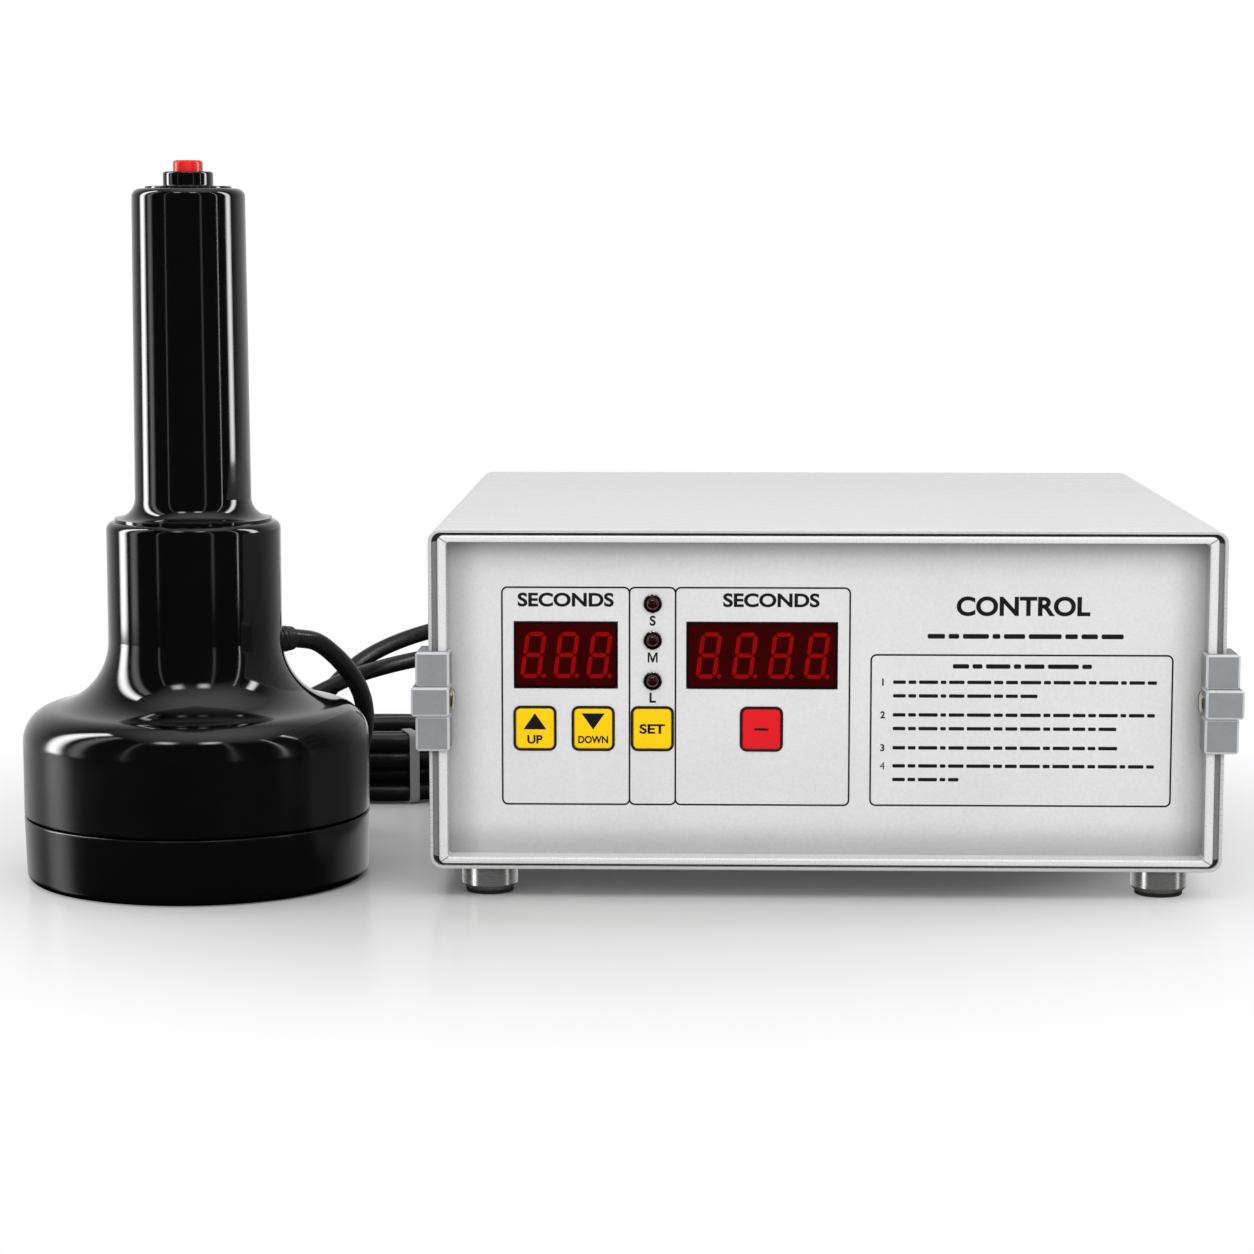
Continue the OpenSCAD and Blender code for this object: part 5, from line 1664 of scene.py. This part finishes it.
    def _window(self, name: str, node: str, digits: int, pitch: float, shift: float) -> None:
        """Display window with its field and the unlit digits behind it.

        Args:
            name: first part of the pieces' names.
            node: node of the frame that the window replaces.
            digits: number of digits.
            pitch: step from digit to digit.
            shift: sideways shift of the row of digits.
        """
        low, high = node_box(node)
        centre, (w, h) = ((low + high) / 2)[[0, 2]], ((high - low) / 2)[[0, 2]]
        front, back, r = low[1], high[1], self.window_r
        edge = [(w - a, h - a, r - b, front + depth) for a, b, depth in self.window_bevels]
        levels = [(*POLE, front), *edge, (w, h, r, back), (*POLE, back)]
        Shell().grid(nested(levels, centre)).piece(f"{name}_window", WINDOW_EDGE, node)
        border, step = self.window_border, self.print_step
        size = (w - border, h - border, r - self.field_corner)
        levels = [(*POLE, front - step), (*size, front - step), (*size, front)]
        shell = Shell().grid(nested(levels, centre))
        shell.piece(f"{name}_window_field", WINDOW_FIELD, closed=False)
        places = centre[0] + shift + (np.arange(digits) - (digits - 1) / 2) * pitch
        self._digits(f"{name}_digits", places, centre[1], front - 2 * step)

    def _digits(self, name: str, places: Array, z: float, y: float) -> None:
        """Seven-segment digits: each segment is a long hexagon, sheared to the right.

        Args:
            name: name of the piece.
            places: X of each digit's middle.
            z: height of their middle.
            y: face that they lie on.
        """
        w, h = self.digit_size[0] / 2, self.digit_size[1] / 4
        s, gap = self.digit_stroke / 2, self.digit_gap
        a, b = w - gap, h - gap
        flat = np.array([(-a, 0), (s - a, s), (a - s, s), (a, 0), (a - s, -s), (s - a, -s)])
        tall = np.array([(0, b), (s, b - s), (s, s - b), (0, -b), (-s, s - b), (-s, b - s)])
        rows = np.array([(0, 2 * h), (0, 0), (0, -2 * h)])
        posts = np.array([(-w, h), (w, h), (-w, -h), (w, -h)])
        dot = arc((w + self.dot_place[0], self.dot_place[1] - 2 * h), self.dot_r, 0, -300, 5)
        shapes = np.concatenate([flat + rows[:, None], tall + posts[:, None], dot[None]])
        shapes[..., 0] += self.digit_slant * shapes[..., 1]
        level = np.full(shapes.shape[:2], y)
        shell = Shell()
        for x in places + self.digit_shift:
            points = np.stack([x + shapes[..., 0], level, z + shapes[..., 1]], axis=-1)
            shell.polygons(points[:, ::-1])
        shell.piece(name, SEGMENT_RED, closed=False)

    def _lamps(self) -> None:
        """Indicator lamps: domes in round chrome rings, turned about axes that look ahead."""
        rings, bore, neck = Shell(), self.lamp_r + self.ring_gap, self.ring_r - self.ring_neck
        pen = Pen((bore, -self.ring_depth), (neck, -self.ring_depth), (neck, 0), (self.ring_r, 0))
        pen.line(self.ring_r, self.ring_t - self.ring_round, SHORT_GUARD)
        pen.turn(self.ring_round, 0, 90, 8)
        ring = pen.to((bore, self.ring_t - self.ring_dip)).profile()
        pen = Pen((0, -self.lamp_depth), (self.lamp_r, -self.lamp_depth))
        pen.line(self.lamp_r, self.lamp_proud - self.lamp_r)
        pen.turn(self.lamp_r, 0, self.lamp_sweep, 18)
        dome = pen.to((0, self.lamp_proud)).profile()
        for size in ("small", "medium", "large"):
            at = middle(f"lamp_{size}") * [1, 0, 1] + [0, self.face, 0]
            rings.grid(lathe(ring, at, (0, -1, 0), turns=56), wrap_rows=True)
            shell = Shell().grid(lathe(dome, at, (0, -1, 0), turns=48))
            shell.piece(f"{size}_lamp_dome", LAMP_MAROON, f"lamp_{size}")
        rings.piece("chrome_rings", LAMP_CHROME, "lamp_rings")

    def _keys(self) -> None:
        """Keys with round edges in black rims."""
        rims, bevel, front = Shell(), self.rim_bevel, self.face - self.rim_t
        inner = np.array([*self.key_half, self.key_r]) + self.rim_gap
        outer = inner + self.rim_w
        levels = [
            (*outer, self.face), (*outer, front + bevel), (*(outer - bevel), front),
            (*inner, front), (*inner, self.face),
        ]
        for body in (Body.UP, Body.DOWN, Body.SET, Body.MINUS):
            at = middle(f"key_{body.value}")
            self._key(body, KEY_RED if body is Body.MINUS else KEY_YELLOW, at[[0, 2]])
            rims.grid(nested(levels, at[[0, 2]]), wrap_rows=True)
        rims.piece("key_frames", RIM_BLACK, "key_rims")

    def _key(self, body: Body, finish: Finish, at: Array) -> None:
        """One key: stem, flange behind the panel, and a cap whose face swells slightly.

        Args:
            body: body of the frame that has the key's name.
            finish: surface finish.
            at: X and Z of its middle.
        """
        front, edge, swell = self.face - self.key_proud, self.key_round, self.key_swell
        seat, flange_back, stem_back = (self.face + depth for depth in self.key_depths)
        cap = np.array([*self.key_half, self.key_r])
        flange = cap + [self.key_flange, self.key_flange, 0]
        levels = [
            (*POLE, stem_back), (*self.stem, stem_back), (*self.stem, flange_back),
            (*flange, flange_back), (*flange, seat), (*cap, seat),
            (*cap, front + edge + self.key_edge_gap),
        ]
        round_in, round_back = edge * (1 - np.cos(QUARTER)), edge * (1 - np.sin(QUARTER))
        levels += [(*(cap - a), front + b + swell) for a, b in zip(round_in, round_back)]
        field_size = np.array([*self.key_half, self.key_ring_r])
        levels += [(*(field_size * s), front + swell * s**4) for s in self.key_rings]
        name = body.value
        Shell().grid(nested(levels, at)).piece(f"{name}_keycap", finish, f"key_{name}", body=body)
        self._legend(body, at, front)

    def _legend(self, body: Body, at: Array, face: float) -> None:
        """Legend of a key: a word, a triangle that points up or down, or a bar.

        Args:
            body: body of the frame that has the key's name.
            at: X and Z of the key's middle.
            face: the key's face.
        """
        for name, text, shift, height, width in self.legends:
            if name == body.value:
                centre = (at[0], face - self.ink / 2, at[1] + shift)
                lettering(f"{name}_legend", text, centre, height, width, body)
        if body is Body.SET:
            return
        w, h = self.arrow_half
        tip = h if body is Body.UP else -h
        flat = np.array([(-w, -tip), (w, -tip), (0.0, tip)]) + [0, self.arrow_rise]
        if body is Body.MINUS:
            flat = np.array([(-1, -1), (1, -1), (1, 1), (-1, 1)]) * self.bar_half
        self._plate(f"{body.value}_mark", flat, at, face, body)


@dataclass
class RearPanel:
    """The parts on the rear panel: fan and screws, power switch and its marks, fuse holder."""

    panel_face: float = 136.65
    fan_pitch: float = 50.0
    screw: ScrewHead = ScrewHead(
        radius=2.9, height=1.7, recess=Recess.CROSS, recess_half=0.42, recess_reach=0.62,
        recess_depth=0.8, shares=(0.9, 0.95, 0.99), rings=14, sides=64, swell=0.9,
    )
    pivot_y: float = 135.65
    swing: float = 20.0
    rocker_face: tuple[Pair, Pair, Pair] = ((3.6, 6.8), (2.0, 0.0), (3.6, -6.8))
    mark_r: float = 1.5
    mark_w: float = 0.4
    ink: float = 0.03

    def build(self) -> None:
        """Dresses the parts that keep their shape, and adds screws and marks."""
        dress(SWITCH_BLACK, "fan_frame", "fan_rotor", "power_switch", "fuse_holder", "fuse_cap")
        dress(ROCKER_RED, "power_rocker")
        shell, fan, reach = Shell(), middle("fan_frame"), self.fan_pitch / 2
        for side, level in CORNERS:
            at = (fan[0] + side * reach, self.panel_face, fan[2] + level * reach)
            shell.grid(self.screw.points(at, (0, 1, 0), (1, 0, 0)))
        shell.piece("fan_screw_heads", SCREW_BRASS, sharp=30.0)
        self._marks()

    def _marks(self) -> None:
        """Off ring and on bar on the two halves of the rocker, which stands on its off side."""
        turn = math.radians(self.swing / 2)
        cos, sin = math.cos(turn), math.sin(turn)
        face = np.array(self.rocker_face) @ [[cos, sin], [-sin, cos]]
        switch = middle("power_switch")
        corners = np.insert(face, 0, 0.0, axis=1) + [switch[0], self.pivot_y, switch[2]]
        upper, lower = (corners[:-1] + corners[1:]) / 2
        along = corners[:-1] - corners[1:]
        along /= np.linalg.norm(along, axis=1, keepdims=True)
        out = np.cross(along, [-1.0, 0.0, 0.0])
        outer, inner = self.mark_r, self.mark_r - self.mark_w
        ring = np.array([(outer, 0), (outer, self.ink), (inner, self.ink), (inner, 0)])
        shell = Shell().grid(lathe(ring, upper, out[0], turns=40), wrap_rows=True)
        shell.piece("off_mark", INK_WHITE, body=Body.ROCKER)
        flat = np.array([(-1, -1), (1, -1), (1, 1), (-1, 1)]) * (self.mark_w / 2, self.mark_r)
        base = lower + flat[:, :1] * [1.0, 0.0, 0.0] + flat[:, 1:] * along[1]
        rows = np.stack([base, base + self.ink * out[1]])
        Shell().prism(rows).piece("on_mark", INK_WHITE, body=Body.ROCKER)


class Lit(Enum):
    """What a lamp shines on: name of the group of pieces, and whether it is lit or left out."""

    POLISHED = ("polished_pieces", "INCLUDE")
    NOT_POLISHED = ("polish_left_out", "EXCLUDE")
    NOT_FLOOR = ("floor_left_out", "EXCLUDE")
    FEET = ("turned_feet", "INCLUDE")

    def group(self, pieces: Sequence[str]) -> bpy.types.Collection:
        """Gathers the pieces of this choice.

        Args:
            pieces: names of the pieces.

        Returns:
            The group, which is not a part of the scene.
        """
        name, state = self.value
        group = bpy.data.collections.new(name)
        for piece in pieces:
            group.objects.link(bpy.data.objects[piece])
        for entry in group.collection_objects:
            entry.light_linking.link_state = state
        return group


class Shine(Enum):
    """Whether dull and glossy surfaces take a lamp's light."""

    BOTH = (True, True)
    DULL = (True, False)
    GLOSS = (False, True)


class Fade(Enum):
    """Directions in which a lamp fades to its edges."""

    NONE = ()
    SIDES = ("X",)
    ALL = ("X", "Y")


class Aim(Enum):
    """Places that the lamps look at."""

    CASE = (0.05, 0.0, 0.05)
    FRONT = (0.05, -0.1, 0.06)
    HEAD = (-0.156, -0.087, 0.9)
    HEAD_LOW = (-0.156, -0.087, -0.4)
    DESK = (-0.1, -0.1, 0.1)
    FEET = (0.07, -0.11, -0.1)


@dataclass(frozen=True)
class Softbox:
    """A rectangular studio lamp; by itself a strip that only shows as a highlight on polish."""

    name: str
    place: Point
    aim: Aim
    size: Pair
    strength: float
    lit: Lit = Lit.POLISHED
    shine: Shine = Shine.GLOSS
    fade: Fade = Fade.SIDES

    def build(self, group: bpy.types.Collection) -> None:
        """Makes the lamp, so that its middle has the given strength in every direction.

        Args:
            group: pieces that it shines on or leaves out.
        """
        light = bpy.data.lights.new(self.name, "AREA")
        light.shape = "RECTANGLE"
        light.size, light.size_y = self.size
        light.energy = self.strength * math.pi * light.size * light.size_y
        lamp = bpy.data.objects.new(self.name, light)
        bpy.context.scene.collection.objects.link(lamp)
        turn = (Vector(self.aim.value) - Vector(self.place)).to_track_quat("-Z", "Y")
        lamp.matrix_world = Matrix.Translation(self.place) @ turn.to_matrix().to_4x4()
        lamp.visible_camera = False
        lamp.visible_diffuse, lamp.visible_glossy = self.shine.value
        lamp.light_linking.receiver_collection = group
        if self.fade is not Fade.NONE:
            self._feather(light)

    def _feather(self, light: bpy.types.AreaLight) -> None:
        """Lets a lamp fade to its edges: half a sine wave across each direction of its fade.

        Args:
            light: the lamp's light.
        """
        tree = Tree(light)
        place = tree.add("NewGeometry", {}, "Parametric")
        shine: Value = 1.0
        for name in self.fade.value:
            wave = tree.math("SINE", tree.math("MULTIPLY", tree.axis(place, name), math.pi))
            shine = tree.math("MULTIPLY", wave, shine)
        tree.fill(tree.nodes["Emission"], {"Strength": shine})


LAMPS = (
    Softbox(
        "overhead", (0.1, -0.2, 2.2), Aim.CASE, (3.2, 2.8), 1.12,
        Lit.NOT_POLISHED, Shine.BOTH, Fade.NONE,
    ),
    Softbox(
        "front_fill", (0.25, -2.1, 0.95), Aim.FRONT, (1.8, 1.2), 4.2,
        Lit.NOT_FLOOR, Shine.DULL, Fade.NONE,
    ),
    Softbox("left_wall", (-1.30, 0.06, 0.9), Aim.HEAD, (0.38, 1.9), 15.0),
    Softbox("left_glow", (-1.26, -0.36, 0.9), Aim.HEAD, (0.3, 1.9), 1.8),
    Softbox("left_low", (-1.30, 0.0, -0.4), Aim.HEAD_LOW, (0.6, 0.6), 1.6),
    Softbox("right_strip", (1.15, -0.62, 0.9), Aim.HEAD, (0.05, 1.9), 7.0),
    Softbox("right_wall", (1.25, 0.05, 0.9), Aim.HEAD, (0.4, 1.9), 13.0),
    Softbox("front_left", (-1.04, -1.17, 0.9), Aim.HEAD, (0.07, 1.9), 1.3),
    Softbox("front_right", (0.61, -1.26, 0.9), Aim.HEAD, (0.12, 1.9), 0.8),
    Softbox("left_glint", (-0.5, -1.0, 1.5), Aim.DESK, (0.4, 0.3), 9.0, fade=Fade.ALL),
    Softbox("right_glint", (0.2, -1.0, 1.5), Aim.DESK, (0.4, 0.3), 9.0, fade=Fade.ALL),
    Softbox("high_glow", (0.1, -0.2, 2.2), Aim.CASE, (3.2, 2.8), 1.1, fade=Fade.ALL),
    Softbox("left_foot_strip", (-1.05, -0.6, -0.1), Aim.FEET, (0.35, 0.8), 4.0, Lit.FEET),
    Softbox("right_foot_strip", (1.3, -0.35, -0.1), Aim.FEET, (0.3, 0.8), 1.6, Lit.FEET),
)


@dataclass
class Studio:
    """Floor, backdrop, lamps and camera."""

    camera_place: Point = (0.0328, -1.26045, 0.2359)
    pitch: float = 7.0
    yaw: float = 1.516
    focal_px: float = 3250.0
    frame_px: float = 1254.0
    sensor: float = 36.0
    floor_half: float = 6.0
    floor_white: float = 0.98
    floor_roughness: float = 0.2
    floor_sheen: float = 0.05
    floor_glow: float = 0.02
    floor_fade: Pair = (0.16, 0.37)
    ambient: float = 0.36
    gloss_depth: tuple[Pair, Pair] = ((0.1, 0.95), (0.03, 0.85))
    gloss_level: Pair = (-0.35, -0.15)
    polished: tuple[str, ...] = (
        "base_shell", "bell_shell", "grip_tube", "button_ring", "red_button", "cable_gland",
        "head_lead", "mains_cable", "small_lamp_dome", "medium_lamp_dome", "large_lamp_dome",
        "chrome_rings",
    )

    def build(self) -> None:
        """Sets up the studio round the object."""
        bpy.context.scene.view_settings.view_transform = "Standard"
        self._camera()
        floor = self._floor()
        self._world()
        pieces = {
            Lit.POLISHED: self.polished, Lit.NOT_POLISHED: self.polished,
            Lit.NOT_FLOOR: (floor.name,), Lit.FEET: ("foot_shells",),
        }
        groups = {lit: lit.group(names) for lit, names in pieces.items()}
        for lamp in LAMPS:
            lamp.build(groups[lamp.lit])

    def _camera(self) -> None:
        """Places the camera at the photograph's angle, with a plain lens."""
        data = bpy.data.cameras.new("camera")
        data.sensor_width = self.sensor
        data.lens = self.sensor * self.focal_px / self.frame_px
        camera = bpy.data.objects.new("camera", data)
        camera.location = self.camera_place
        camera.rotation_euler = (math.radians(90 - self.pitch), 0.0, math.radians(self.yaw))
        bpy.context.scene.collection.objects.link(camera)
        bpy.context.scene.camera = camera

    def _floor(self) -> bpy.types.Object:
        """A pale floor with a faint sheen, which keeps the shadow and turns white further out.

        Returns:
            The floor.
        """
        half = self.floor_half
        corners = [(-half, -half, 0), (half, -half, 0), (half, half, 0), (-half, half, 0)]
        mesh = bpy.data.meshes.new("floor")
        mesh.from_pydata(corners, [], [(0, 1, 2, 3)])
        floor = bpy.data.objects.new("floor", mesh)
        bpy.context.scene.collection.objects.link(floor)
        material = bpy.data.materials.new("studio_floor")
        tree = Tree(material)
        shader = tree.fill(tree.nodes["Principled BSDF"], {
            "Base Color": (*(self.floor_white,) * 3, 1.0), "Roughness": self.floor_roughness,
            "Specular IOR Level": self.floor_sheen,
            "Emission Color": WHITE, "Emission Strength": self.floor_glow,
        })
        reach = tree.vector("LENGTH", tree.add("TexCoord", {}, "Object"), out="Value")
        far = tree.ramp(reach, self.floor_fade)
        white = tree.add("Emission", {})
        surface = tree.add("MixShader", {"Fac": far, 1: shader.outputs["BSDF"], 2: white})
        tree.fill(tree.nodes["Material Output"], {"Surface": surface})
        mesh.materials.append(material)
        floor.visible_glossy = False
        return floor

    def _world(self) -> None:
        """White for the camera, soft grey all round, for gloss white behind and dark in front."""
        world = bpy.data.worlds.new("studio")
        bpy.context.scene.world = world
        tree = Tree(world)
        world.cycles.sampling_method = "NONE"
        tree.nodes.clear()
        place = tree.add("TexCoord", {}, "Generated")
        behind = tree.ramp(tree.axis(place, "Y"), *self.gloss_depth)
        above = tree.ramp(tree.axis(place, "Z"), self.gloss_level)
        kinds = ("Glossy", "Camera", "Transmission")
        gloss, camera, glass = (tree.add("LightPath", {}, f"Is {kind} Ray") for kind in kinds)
        light = tree.blend(gloss, self.ambient, tree.math("MULTIPLY", behind, above))
        seen = tree.blend(tree.math("MAXIMUM", camera, glass), light, 1.0)
        shine = tree.add("Background", {"Color": WHITE, "Strength": seen})
        tree.fill(tree.nodes.new("ShaderNodeOutputWorld"), {"Surface": shine})


def main() -> None:
    """Builds the object and the studio round it."""
    logging.basicConfig(level=logging.INFO, format="%(name)s %(message)s")
    for assembly in (CableSet(), SealingHead(), Housing(), ControlPanel(), RearPanel(), Studio()):
        assembly.build()


if __name__ == "__main__":
    main()
